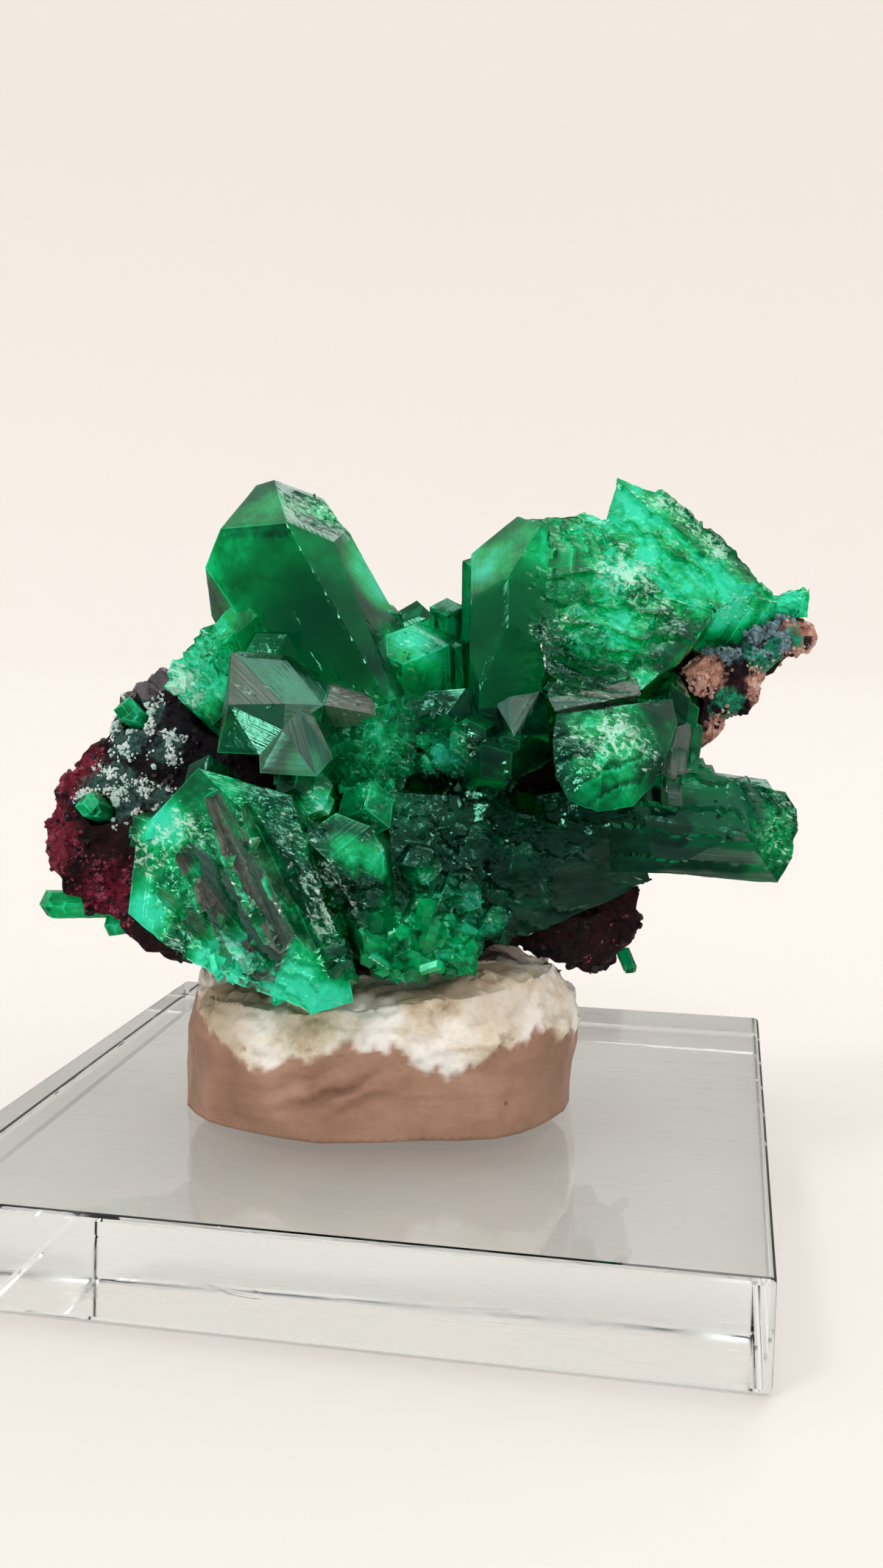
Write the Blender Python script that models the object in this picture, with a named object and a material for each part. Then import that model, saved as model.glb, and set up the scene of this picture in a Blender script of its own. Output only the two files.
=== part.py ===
"""A cluster of emerald-green dioptase crystals on dark red matrix rock, held by a wad of mineral tack on a clear
acrylic display block. Metres, +Z up, origin at the middle of the block's underside.

The rock and its crystals are given in the specimen's own frame: x to the right and y to the back, as it is shown,
z up from the block's top face. That frame is turned a little on the block.
"""

import math
import random
from dataclasses import dataclass

import bmesh
import bpy
from mathutils import Matrix, Vector, noise

MM = 0.001

BLOCK_SIDE = 50.8 * MM
BLOCK_THICKNESS = 6.35 * MM
BLOCK_EDGE = 0.4 * MM
SPECIMEN_TURN = math.radians(10.6)
GAP = 0.3 * MM
SLIVER = 0.01 * MM
ROCK_GAPS = (GAP, 0.8 * MM)

TACK_CENTRE = (-1.4, 0.0)
TACK_REACH = (13.4, 11.6)
TACK_SQUARENESS = 0.8
TACK_HEIGHT = 9.4
TACK_RINGS = 6
TACK_SEGMENTS = 36

ROCK_VOXEL = 1.5
ROCK_KEPT = 0.42
ROCK_ROUGHNESS = 0.85
ROCK_LUMP = 4.2

LOW_CRYSTALS = 16.0
PRISM_SIDES = 6
RHOMB_SLOPE = math.radians(50.9)
RHOMB_FACES = 3
CORNER_TO_FLAT = 1.0 / math.cos(math.pi / PRISM_SIDES)


@dataclass
class Crystal:
    """A six-sided prism with a three-faced tip. Sizes are in millimetres in the specimen's frame.

    radius is to the prism's corners, flat is its depth over its width, twist turns it about its own axis, steps is
    the number of smaller crystals grown parallel to it, and blunt widens the tip: 0 is pointed, 1 nearly flat.
    Each facet is three points on a plane that cuts the prism off.
    """

    base: tuple
    tip: tuple
    radius: float
    flat: float = 1.0
    twist: float = 0.0
    steps: int = 0
    blunt: float = 0.0
    facets: tuple = ()


UPPER_LEFT = (
    Crystal(
        (-3.4, 1.0, 26.0), (-13.0, 3.0, 47.0), 9.0, 1.0, 15, 0, 0.2,
        (
            ((-9.2, 1.2, 42.5), (-11.6, 0.0, 40.4), (-9.1, -2.8, 39.2)),
            ((-13.6, -0.5, 36.6), (-6.9, -3.6, 37.8), (-2.5, -5.2, 30.5)),
            ((-13.6, -0.5, 36.6), (-11.6, 0.0, 40.4), (-11.5, 5.0, 38.5)),
            ((-13.6, -0.5, 36.4), (-9.2, -4.4, 32.0), (-12.5, 1.0, 33.5)),
            ((-6.9, -3.6, 37.8), (-2.5, -5.2, 30.5), (-4.8, -2.0, 38.2)),
            ((-4.8, -2.0, 38.2), (-2.2, -3.0, 33.0), (-1.2, 0.8, 34.3)),
            ((-7.3, 2.2, 41.9), (-4.7, 1.6, 40.0), (-5.6, -2.6, 38.4)),
            ((-9.2, 1.2, 42.5), (-7.3, 2.2, 41.9), (-8.5, 5.5, 39.0)),
            ((-4.7, 1.6, 40.0), (-1.2, 0.8, 34.3), (-3.5, 5.5, 36.0)),
            ((-11.0, 5.5, 36.0), (-3.0, 6.2, 33.0), (-8.0, 5.8, 38.0)),
            ((-9.0, -4.0, 27.0), (-1.0, -4.0, 27.0), (-4.0, 5.0, 26.4)),
        ),
    ),
    Crystal((-6.5, 3.4, 27.0), (-10.6, 3.0, 37.6), 2.9, 1.0, 15, 2, 0.4),
    Crystal((-8.0, 2.5, 26.0), (-11.4, -0.8, 34.2), 2.4, 1.0, 15, 2, 0.5),
    Crystal((-10.5, 2.5, 26.5), (-14.2, 0.5, 32.6), 2.4, 1.0, 20, 3, 0.3),
    Crystal((-11.5, 1.5, 26.0), (-16.3, -0.2, 30.2), 1.9, 1.0, 35, 4, 0.2),
    Crystal((-10.0, 1.0, 26.0), (-13.2, -3.0, 28.4), 1.9, 1.0, 10, 3, 0.3),
)

LEFT_MIDDLE = (
    Crystal((-7.0, -2.0, 22.6), (-6.6, -9.4, 22.6), 1.4, 1.0, 25, 1, 0.3),
    Crystal((-9.5, 0.5, 30.6), (-8.6, -4.6, 30.4), 2.0, 1.0, 10, 1, 0.7),
)

CENTRE_TOP = (
    Crystal((-1.0, 2.4, 27.5), (-1.7, 1.2, 34.4), 1.3, 1.0, 0, 2, 0.3),
    Crystal((1.0, 3.0, 25.5), (0.7, 2.0, 34.5), 1.8, 1.0, 14, 1, 0.1),
    Crystal((3.0, 3.4, 25.5), (2.8, 2.8, 34.7), 1.4, 1.0, 30, 2, 0.3),
    Crystal((1.0, 1.5, 23.5), (0.4, -1.6, 32.8), 3.3, 1.0, 22, 2, 0.7),
    Crystal((3.4, 1.5, 26.5), (2.9, -4.2, 27.0), 2.6, 0.75, 0, 0, 0.8),
    Crystal((-1.6, 1.0, 27.0), (-2.4, -4.4, 30.0), 2.2, 1.0, 5, 2, 0.5),
)

TALL_CENTRE = (
    Crystal(
        (7.2, 1.0, 23.5), (7.4, 0.6, 44.0), 5.6, 1.0, 6, 0, 0.5,
        (
            ((4.4, 1.0, 37.7), (7.5, 0.5, 40.3), (6.8, -3.4, 36.2)),
            ((4.2, 1.0, 30.0), (4.4, 1.0, 37.7), (4.4, -2.4, 35.1)),
            ((4.4, -2.4, 35.1), (4.2, -3.6, 29.5), (6.8, -3.4, 36.2)),
            ((6.8, -3.4, 36.2), (8.5, -4.6, 29.2), (8.6, -2.8, 36.4)),
            ((4.4, 1.0, 37.7), (7.5, 0.5, 40.3), (6.0, 6.0, 36.8)),
            ((7.5, 0.5, 40.3), (9.4, 0.5, 39.2), (8.0, 5.0, 39.4)),
            ((9.4, -3.0, 30.0), (9.4, -3.0, 38.0), (10.2, 4.0, 34.0)),
        ),
    ),
    Crystal((4.8, 2.8, 25.0), (4.9, 2.0, 37.6), 1.1, 1.0, 6, 1, 0.5),
)

UPPER_RIGHT = (
    Crystal((10.4, 4.0, 26.0), (10.4, 3.0, 40.6), 2.7, 1.0, 12, 2, 0.7),
    Crystal((12.6, 5.0, 26.0), (12.4, 4.2, 41.0), 2.4, 1.0, 25, 2, 0.6),
    Crystal((20.0, 5.0, 32.0), (23.6, 3.6, 37.8), 2.3, 1.0, 16, 1, 0.5),
    Crystal((22.5, 5.0, 31.5), (25.4, 4.6, 36.2), 1.9, 1.0, 0, 2, 0.5),
    Crystal((24.0, 5.4, 33.6), (28.4, 5.2, 35.2), 1.0, 1.0, 0, 1, 0.4),
    Crystal((28.1, 5.4, 33.6), (28.2, 5.2, 36.0), 0.8, 1.0, 20, 1, 0.5),
    Crystal((17.0, 3.0, 33.0), (16.4, -1.6, 34.8), 1.6, 0.6, 12, 2, 0.7),
    Crystal((20.0, 3.0, 33.0), (19.6, -0.8, 34.4), 1.5, 0.6, 32, 2, 0.6),
    Crystal((12.5, 0.0, 31.6), (12.0, -4.8, 32.4), 1.6, 0.6, 15, 2, 0.8),
)

RIGHT_FRONT = (
    Crystal((18.0, 2.5, 28.4), (17.6, -3.4, 27.4), 1.7, 1.0, 18, 2, 0.5),
    Crystal((19.4, 3.5, 27.6), (19.2, 0.0, 26.6), 1.3, 1.0, 18, 2, 0.4),
    Crystal((19.4, 1.6, 27.5), (17.9, -3.4, 20.8), 1.4, 0.5, 20, 1, 0.3),
    Crystal((20.2, 1.8, 26.0), (19.4, -1.2, 21.4), 0.9, 0.7, 0, 0, 0.2),
    Crystal((9.6, 0.0, 25.2), (5.0, -8.0, 23.4), 2.2, 0.85, 4, 2, 0.5),
    Crystal((6.2, 0.0, 26.0), (4.0, -6.4, 25.4), 1.5, 1.0, 10, 2, 0.6),
    Crystal((3.2, 1.0, 25.5), (2.3, -5.2, 23.8), 1.3, 1.0, 10, 1, 0.6),
)

DARK_LOWER = (
    Crystal((5.6, 4.0, 20.6), (5.4, -6.0, 20.2), 2.6, 1.0, 6, 1, 0.9),
    Crystal((-2.6, 4.0, 23.5), (-3.0, -5.0, 24.2), 4.2, 1.0, 10, 2, 0.8),
    Crystal((0.6, 4.0, 26.0), (-0.4, -3.6, 27.6), 3.4, 1.0, 26, 1, 0.8),
)

LOWER_RIGHT = (
    Crystal((14.0, 2.4, 20.4), (28.0, 1.4, 18.8), 2.6, 1.0, 6, 2, 0.6),
    Crystal((19.6, 3.0, 20.0), (21.4, 0.8, 23.2), 1.2, 1.0, 0, 1, 0.4),
    Crystal((23.2, 2.6, 20.0), (24.0, 1.0, 22.4), 0.9, 1.0, 15, 1, 0.5),
)

FRONT_BOTTOM = (
    Crystal((0.6, -3.0, 17.6), (1.6, -9.6, 17.6), 1.6, 1.0, 0, 2, 0.5),
    Crystal((3.4, -2.0, 16.0), (4.3, -9.2, 15.9), 1.7, 1.0, 20, 2, 0.5),
    Crystal((5.4, -2.0, 13.4), (6.8, -8.4, 13.6), 1.6, 1.0, 0, 2, 0.4),
    Crystal((3.4, -4.0, 12.8), (3.8, -10.4, 12.2), 2.1, 1.0, 12, 2, 0.6),
    Crystal((0.6, -4.0, 13.0), (0.8, -11.8, 12.8), 2.3, 1.0, 30, 2, 0.6),
    Crystal((1.0, -4.0, 14.6), (2.2, -10.8, 14.6), 1.7, 1.0, 8, 1, 0.6),
)

LEFT_FRONT = (
    Crystal((-13.5, -1.0, 19.4), (-17.6, -6.0, 18.8), 1.3, 1.0, 8, 2, 0.4),
    Crystal((-12.6, -1.0, 21.6), (-12.8, -6.4, 22.8), 1.6, 1.0, 22, 2, 0.5),
    Crystal((-6.0, -2.0, 20.0), (-6.2, -8.8, 22.6), 1.9, 1.0, 14, 2, 0.5),
    Crystal((-2.0, 0.0, 20.0), (-2.2, -8.2, 21.2), 2.0, 1.0, 20, 2, 0.5),
)

# Corners of the crystals whose own faces show best, as flat-sided shards.
SHARDS = {
    "front plate": (
        (-13.1, -7.0, 23.5), (-14.2, -7.0, 22.3), (-17.2, -6.5, 19.0), (-17.6, -7.6, 14.0), (-14.7, -9.4, 12.1),
        (-11.9, -11.0, 10.8), (-8.1, -12.2, 9.8), (-5.3, -12.8, 8.8), (-2.6, -12.6, 9.7), (-3.0, -13.2, 12.6),
        (-4.9, -12.6, 17.2), (-6.8, -9.4, 22.2), (-13.0, 0.0, 21.0), (-14.0, -1.0, 13.5), (-6.0, -3.0, 10.6),
        (-4.0, -2.0, 20.0),
    ),
    "ridge crystal": (
        (-6.1, -11.0, 19.9), (-4.0, -9.6, 21.1), (-1.8, -9.6, 20.3), (-1.0, -10.4, 18.8), (-4.3, -12.4, 18.5),
        (-0.6, -11.2, 16.4), (-0.8, -11.6, 14.2), (-2.7, -12.9, 15.6), (-1.8, -12.6, 12.4), (0.4, -11.4, 10.8),
        (-5.0, -3.0, 19.6), (0.0, -3.0, 18.4), (0.6, -4.0, 11.6), (-4.0, -5.0, 11.0),
    ),
    "stubby crystal": (
        (-11.3, -4.5, 31.0), (-8.0, -4.5, 30.8), (-7.4, -8.0, 27.8), (-11.0, -8.0, 27.7), (-11.7, -8.2, 24.6),
        (-8.9, -9.0, 24.6), (-7.4, -9.0, 26.2), (-4.7, -5.5, 28.9), (-5.0, -7.4, 27.7), (-11.0, 0.0, 31.0),
        (-4.5, 0.0, 29.0), (-4.0, 0.0, 24.0), (-11.5, 0.0, 24.0), (-5.4, -7.0, 24.6),
    ),
    "striated crystal": (
        (-6.4, -9.0, 27.5), (-5.4, -8.8, 27.0), (-7.4, -9.4, 26.2), (-4.2, -9.2, 24.5), (-5.2, -9.9, 23.4),
        (-8.8, -9.8, 23.5), (-8.9, -9.3, 24.6), (-6.2, -3.0, 27.4), (-3.6, -4.0, 24.5), (-9.0, -3.0, 23.0),
        (-5.0, -3.0, 22.6),
    ),
    "pale shelf": (
        (-4.7, -5.3, 28.9), (-1.9, -5.0, 28.2), (-1.6, -6.0, 27.0), (-5.0, -7.2, 27.7), (-4.0, 0.0, 29.0),
        (-1.0, 0.0, 28.0), (-2.0, -1.0, 25.0), (-5.0, -2.0, 25.0),
    ),
    "wavy top": (
        (7.6, 1.0, 40.1), (10.3, 2.0, 40.5), (11.9, 2.2, 40.6), (13.6, 2.6, 39.9), (13.8, -1.2, 36.7),
        (8.7, -3.8, 32.6), (7.8, -3.0, 35.8), (14.6, -1.0, 35.5), (14.0, 5.0, 39.8), (8.4, 5.4, 39.6),
        (8.4, 5.0, 31.0), (15.0, 5.0, 32.0),
    ),
    "leaning slab": (
        (14.6, 4.0, 43.3), (13.6, 2.0, 39.9), (13.2, 1.0, 39.3), (14.6, -1.0, 35.5), (21.3, 0.2, 34.1),
        (25.3, 4.6, 36.0), (23.8, 4.6, 36.9), (22.7, 4.8, 39.1), (20.6, 4.8, 40.6), (19.2, 4.6, 41.0),
        (17.9, 4.4, 42.6), (18.6, 1.4, 39.0), (15.5, 7.0, 42.2), (14.0, 8.0, 38.0), (19.0, 8.5, 40.4),
        (22.6, 8.0, 37.6), (21.0, 8.0, 33.0), (15.0, 8.0, 32.0),
    ),
    "stepped front": (
        (8.8, -3.6, 32.6), (9.2, -5.4, 30.0), (11.0, -6.0, 28.8), (15.5, -5.4, 28.8), (18.2, -3.0, 30.4),
        (21.2, -0.6, 33.8), (10.2, -3.0, 33.7), (10.4, -1.4, 35.2), (17.4, -1.0, 35.3), (9.0, 6.0, 28.0),
        (22.0, 6.0, 32.6), (18.0, 6.0, 35.0), (9.6, 6.0, 35.0), (17.0, 4.0, 28.0),
    ),
    "hexagon crystal": (
        (9.4, -9.6, 25.9), (9.6, -10.4, 23.7), (10.5, -10.6, 22.2), (12.4, -10.4, 21.4), (14.7, -9.8, 21.8),
        (16.1, -9.0, 23.1), (16.9, -8.2, 24.8), (17.9, -6.0, 26.8), (17.7, -4.6, 28.3), (12.7, -11.1, 24.8),
        (9.8, -8.2, 27.5), (14.8, -7.6, 28.2), (11.0, 1.0, 28.0), (18.0, 1.5, 28.5), (12.0, 1.0, 23.0),
        (17.0, 1.0, 24.0),
    ),
    "grey ledge": (
        (9.3, -8.1, 28.4), (9.7, -8.5, 27.6), (15.4, -7.2, 28.7), (15.4, -5.4, 29.9), (9.2, -6.0, 29.4),
        (10.0, 0.0, 30.0), (15.0, 0.0, 30.0), (10.0, 0.0, 27.0), (15.0, 0.0, 27.0),
    ),
    "mirror facet": (
        (6.9, -3.2, 29.1), (9.5, -3.2, 29.3), (9.6, -5.2, 25.8), (6.2, -4.2, 27.6), (7.3, -6.2, 25.8),
        (6.8, 0.0, 28.0), (10.0, 0.0, 28.8), (10.0, 0.0, 24.0), (7.0, 0.0, 24.0),
    ),
    "lower right prism": (
        (19.8, -1.0, 23.4), (23.3, -0.8, 22.5), (26.8, -0.4, 20.9), (27.3, -0.8, 19.4), (27.2, -0.8, 17.1),
        (26.1, -0.6, 15.3), (22.1, -1.8, 16.9), (17.2, -3.0, 16.2), (16.3, -3.2, 20.3), (23.2, -2.6, 19.2),
        (9.0, -2.6, 21.6), (10.0, -3.0, 16.6), (20.0, 4.5, 23.0), (26.4, 4.0, 20.9), (26.8, 3.8, 17.5),
        (17.0, 4.5, 16.5), (8.0, 4.0, 21.0), (8.0, 4.0, 16.0),
    ),
    "dark slope": (
        (-1.2, -5.6, 22.0), (4.0, -5.6, 21.8), (9.0, -4.8, 20.4), (13.8, -3.2, 18.8), (17.4, -1.6, 15.6),
        (12.8, -3.4, 14.4), (8.6, -5.0, 12.2), (4.0, -7.6, 13.0), (0.0, -8.6, 14.6), (0.0, 6.0, 22.0),
        (14.0, 6.0, 18.0), (14.0, 4.0, 15.0), (2.0, 4.0, 12.0),
    ),
}
# Long broken grooves across the front plate: where each starts and ends, and how wide it is.
PLATE_GROOVES = (
    ((-15.6, -8.4, 15.8), (-9.6, -12.2, 11.8), 1.5),
    ((-14.0, -8.2, 18.4), (-7.9, -12.6, 12.2), 2.4),
    ((-12.1, -8.0, 22.0), (-7.3, -12.8, 13.4), 1.7),
    ((-9.8, -9.2, 21.6), (-5.0, -13.4, 13.4), 1.4),
)
GROOVE_DEPTH = 1.2

UNDERSIDE = (
    Crystal((-17.5, 5.0, 12.1), (-26.4, 3.6, 12.2), 1.3, 0.8, 10, 2, 0.4),
    Crystal((-17.0, 5.0, 11.2), (-21.6, 3.0, 10.8), 1.1, 0.8, 24, 1, 0.4),
)
UPPER_LEDGE = (
    Crystal((-18.0, 5.0, 24.5), (-19.8, 1.4, 26.9), 0.9, 1.0, 0, 2, 0.4),
)
LOWER_LEDGE = (
    Crystal((-20.5, 4.0, 18.5), (-22.2, -0.2, 20.2), 0.9, 1.0, 0, 2, 0.4),
)
FOOT = (
    Crystal((15.8, 2.2, 9.8), (16.4, 1.0, 8.4), 0.5, 1.0, 0, 1, 0.4),
)

# Corners of the rock's lumps, which are fused and roughened.
ROCK_LUMPS = (
    (
        (-16.2, 3.4, 30.6), (-18.8, 3.2, 29.4), (-21.0, 3.0, 26.4), (-24.6, 2.8, 21.0), (-26.6, 2.5, 17.2),
        (-24.6, 1.5, 12.8), (-15.6, 0.0, 8.2), (-13.0, -2.4, 10.0), (-12.0, -1.0, 19.0), (-12.0, 1.0, 28.6),
        (-13.0, 12.0, 28.0), (-20.0, 12.0, 23.0), (-23.0, 10.0, 16.0), (-14.0, 11.0, 9.4),
    ),
    (
        (-14.0, 1.0, 27.0), (-14.0, -2.0, 10.0), (-12.0, 14.0, 26.0), (-12.0, 12.5, 9.6), (0.0, 3.0, 28.0),
        (13.0, 3.0, 27.0), (12.0, 12.0, 26.0), (13.0, 10.0, 10.0), (0.0, 15.0, 22.0), (2.0, -5.0, 9.6),
        (10.0, -3.0, 10.6), (14.0, 2.0, 14.0), (-6.0, -5.0, 9.6),
    ),
    (
        (8.0, -2.6, 10.8), (12.8, -2.4, 14.8), (16.8, -0.4, 15.2), (17.4, 0.2, 12.6), (17.5, 0.4, 10.2),
        (14.8, -0.4, 9.2), (12.4, -1.4, 8.4), (9.0, 8.0, 9.0), (16.0, 8.0, 14.4), (15.4, 7.0, 9.4),
    ),
    (
        (8.0, 4.0, 23.0), (8.0, 10.0, 26.0), (18.2, -0.4, 30.9), (22.4, 0.8, 29.6), (27.0, 3.0, 34.0),
        (30.2, 4.4, 32.9), (29.8, 4.6, 31.4), (28.2, 3.8, 30.4), (26.4, 3.4, 29.2), (24.8, 3.0, 27.2),
        (22.8, 2.6, 25.2), (20.6, 2.4, 23.8), (17.0, 1.0, 26.0), (29.4, 8.0, 33.4), (22.0, 10.0, 27.6),
        (14.0, 3.0, 21.0), (26.0, 9.0, 34.0),
    ),
    (
        (9.0, 2.6, 17.0), (10.0, 10.0, 23.0), (20.4, 2.4, 16.8), (20.0, 5.6, 16.4), (20.6, 4.4, 18.6),
        (9.0, 9.0, 14.0), (15.0, 1.6, 16.0),
    ),
)

DRUSE_SEED = 7
DRUSE_COUNT = 24
DRUSE_CENTRE = (0.6, -4.6, 22.6)
DRUSE_REACH = (5.4, 1.4, 3.6)
DRUSE_SIZE = (0.4, 0.9)

COLOURS = {
    "acrylic": (0.92, 0.95, 0.95),
    "tack": (0.62, 0.52, 0.41),
    "rock": (0.11, 0.03, 0.035),
    "dioptase": (0.0, 0.36, 0.14),
}


def clear_scene():
    """Removes every object that is there at the start."""
    for item in list(bpy.data.objects):
        bpy.data.objects.remove(item, do_unlink=True)


def finish_of(name, roughness, metallic=0.0, clear=0.0):
    """Makes the plain material that a part's pieces share."""
    material = bpy.data.materials.new(name)
    material.use_nodes = True
    surface = material.node_tree.nodes["Principled BSDF"]
    surface.inputs["Base Color"].default_value = (*COLOURS[name], 1.0)
    surface.inputs["Roughness"].default_value = roughness
    surface.inputs["Metallic"].default_value = metallic
    surface.inputs["Transmission Weight"].default_value = clear
    return material


def object_from(bm, name, parent=None):
    """Turns a bmesh into an object that hangs on the parent."""
    mesh = bpy.data.meshes.new(name)
    bmesh.ops.recalc_face_normals(bm, faces=bm.faces)
    bm.to_mesh(mesh)
    bm.free()
    made = bpy.data.objects.new(name, mesh)
    bpy.context.scene.collection.objects.link(made)
    made.parent = parent
    return made


def keep_result(made):
    """Replaces an object's mesh and modifiers by the mesh that the modifiers give."""
    graph = bpy.context.evaluated_depsgraph_get()
    mesh = bpy.data.meshes.new_from_object(made.evaluated_get(graph))
    made.modifiers.clear()
    made.data = mesh


def combine(made, others, operation):
    """Joins the other objects to this one, or cuts it by them, and removes them."""
    helpers = bpy.data.collections.new("helpers")
    bpy.context.scene.collection.children.link(helpers)
    for other in others:
        helpers.objects.link(other)
    step = made.modifiers.new(operation, "BOOLEAN")
    step.operation = operation
    step.operand_type = "COLLECTION"
    step.collection = helpers
    keep_result(made)
    for other in others:
        bpy.data.objects.remove(other, do_unlink=True)
    bpy.data.collections.remove(helpers)


def slice_off(bm, point, normal):
    """Cuts off what lies beyond a plane and closes the cut."""
    cut = bmesh.ops.bisect_plane(
        bm, geom=bm.verts[:] + bm.edges[:] + bm.faces[:], dist=1e-9,
        plane_co=point, plane_no=normal, clear_outer=True,
    )
    rim = [item for item in cut["geom_cut"] if isinstance(item, bmesh.types.BMEdge)]
    if rim:
        bmesh.ops.contextual_create(bm, geom=rim)


def crystal_frame(axis):
    """Returns the turn that points a crystal's z along the axis, its x to the right as the specimen is shown."""
    x = Vector((0.0, 1.0, 1.0)).cross(axis).normalized()
    y = axis.cross(x)
    return Matrix((x, y, axis)).transposed().to_4x4()


def crystal_object(crystal, parent, grown=0.0):
    """Makes one crystal, or with grown the same crystal larger all round by that length in metres."""
    base = Vector(crystal.base) * MM
    tip = Vector(crystal.tip) * MM
    axis = (tip - base).normalized()
    length = (tip - base).length
    radius = crystal.radius * MM
    bm = bmesh.new()
    bmesh.ops.create_cone(
        bm, cap_ends=True, segments=PRISM_SIDES, radius1=radius + grown * CORNER_TO_FLAT,
        radius2=radius + grown * CORNER_TO_FLAT, depth=1.5 * length + 2 * grown,
        matrix=Matrix.Translation((0, 0, 0.75 * length)) @ Matrix.Rotation(math.pi / 2, 4, "Z"),
    )
    slope = RHOMB_SLOPE * (1.0 - 0.72 * crystal.blunt)
    apex = Vector((0.0, 0.0, length))
    for face in range(RHOMB_FACES):
        turn = math.tau * face / RHOMB_FACES
        normal = Vector((math.cos(turn) * math.sin(slope), math.sin(turn) * math.sin(slope), math.cos(slope)))
        slice_off(bm, apex + normal * grown, normal)
    widths = Matrix.Diagonal((1.0, crystal.flat, 1.0, 1.0))
    turned = Matrix.Rotation(math.radians(crystal.twist), 4, "Z")
    placed = Matrix.Translation(base) @ crystal_frame(axis)
    bmesh.ops.transform(bm, matrix=placed @ widths @ turned, verts=bm.verts)
    for facet in crystal.facets:
        first, second, third = (Vector(point) * MM for point in facet)
        normal = (second - first).cross(third - first).normalized()
        if normal.dot(first - (base + tip) / 2) < 0:
            normal.negate()
        slice_off(bm, first + normal * grown, normal)
    return object_from(bm, "crystal", parent)


def with_steps(crystal, rng):
    """Returns the crystal and the smaller ones that grew parallel to it, which give it steps."""
    base, tip = Vector(crystal.base), Vector(crystal.tip)
    frame = crystal_frame((tip - base).normalized()).to_3x3()
    family = [crystal]
    for _ in range(crystal.steps):
        turn = rng.uniform(0.0, math.tau)
        away = rng.uniform(0.45, 0.8) * crystal.radius
        shift = frame @ Vector((math.cos(turn) * away, math.sin(turn) * away * crystal.flat, 0.0))
        reach = rng.uniform(0.72, 0.97)
        family.append(
            Crystal(
                tuple(base + shift), tuple(base + shift + (tip - base) * reach),
                crystal.radius * rng.uniform(0.35, 0.62), crystal.flat, crystal.twist, 0, crystal.blunt,
            )
        )
    return family


def druse():
    """Returns the many small crystals that line the hollow in the middle."""
    rng = random.Random(DRUSE_SEED)
    found = []
    for _ in range(DRUSE_COUNT):
        turn, out = rng.uniform(0.0, math.tau), math.sqrt(rng.random())
        centre = Vector(DRUSE_CENTRE) + Vector(
            (
                math.cos(turn) * out * DRUSE_REACH[0],
                rng.uniform(-0.5, 0.5) * DRUSE_REACH[1],
                math.sin(turn) * out * DRUSE_REACH[2],
            )
        )
        axis = Vector((rng.uniform(-0.7, 0.7), -1.0, rng.uniform(-0.3, 0.9))).normalized()
        size = rng.uniform(*DRUSE_SIZE)
        found.append(
            Crystal(
                tuple(centre - axis * 3.5), tuple(centre + axis * size), size, 1.0,
                rng.uniform(0, 60), 0, rng.uniform(0.1, 0.6),
            )
        )
    return found


def block_of(corners, parent, grown=0.0):
    """Makes the hull of a few corners, or with grown the same hull larger by that length in metres."""
    middle = sum((Vector(corner) for corner in corners), Vector()) / len(corners)
    bm = bmesh.new()
    for corner in corners:
        away = (Vector(corner) - middle).normalized()
        bm.verts.new(Vector(corner) * MM + away * grown * 1.4)
    hull = bmesh.ops.convex_hull(bm, input=bm.verts)
    loose = {item for item in hull["geom_interior"] if isinstance(item, bmesh.types.BMVert)}
    bmesh.ops.delete(bm, geom=list(loose), context="VERTS")
    return object_from(bm, "block", parent)


def groove_cutter(groove, parent):
    """Makes the three-sided bar that cuts one broken groove."""
    start, end, width = groove
    start, end = Vector(start) * MM, Vector(end) * MM
    along = (end - start).normalized()
    bm = bmesh.new()
    bmesh.ops.create_cone(
        bm, cap_ends=True, segments=3, radius1=width * MM * 0.35, radius2=width * MM * 0.75,
        depth=(end - start).length,
    )
    placed = Matrix.Translation((start + end) / 2) @ along.to_track_quat("Z", "Y").to_matrix().to_4x4()
    bmesh.ops.transform(bm, matrix=placed @ Matrix.Diagonal((1.0, GROOVE_DEPTH * 1.5, 1.0, 1.0)), verts=bm.verts)
    return object_from(bm, "groove", parent)


def islands_of(bm):
    """Sorts the faces into sets that hang together."""
    left = set(bm.faces)
    islands = []
    while left:
        waiting = [left.pop()]
        island = set(waiting)
        while waiting:
            face = waiting.pop()
            near = {other for edge in face.edges for other in edge.link_faces} & left
            left -= near
            island |= near
            waiting += near
        islands.append(island)
    return islands


def keep_outer_skin(made):
    """Drops closed hollows and loose chips, so that the piece is one solid."""
    bm = bmesh.new()
    bm.from_mesh(made.data)
    for island in sorted(islands_of(bm), key=len)[:-1]:
        bmesh.ops.delete(bm, geom=list(island), context="FACES")
    bm.to_mesh(made.data)
    bm.free()


def drop_slivers(made):
    """Merges points closer than a hair, and flattens out the needle-thin faces, that cutting leaves behind."""
    bm = bmesh.new()
    bm.from_mesh(made.data)
    bmesh.ops.triangulate(bm, faces=bm.faces)
    bmesh.ops.remove_doubles(bm, verts=bm.verts, dist=SLIVER)
    bmesh.ops.dissolve_degenerate(bm, dist=SLIVER, edges=bm.edges)
    bmesh.ops.triangulate(bm, faces=bm.faces)
    bm.to_mesh(made.data)
    bm.free()


def crystal_family(groups):
    """Returns every crystal of the groups, with the parallel ones that give them steps."""
    family = []
    for number, crystal in enumerate(crystal for group in groups for crystal in group):
        family += with_steps(crystal, random.Random(number))
    return family


def grown_together(name, pieces, parent):
    """Fuses overlapping pieces into one named solid."""
    first, rest = pieces[0], pieces[1:]
    if rest:
        combine(first, rest, "UNION")
    keep_outer_skin(first)
    first.name = name
    first.data.name = name
    first.parent = parent
    return first


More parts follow.
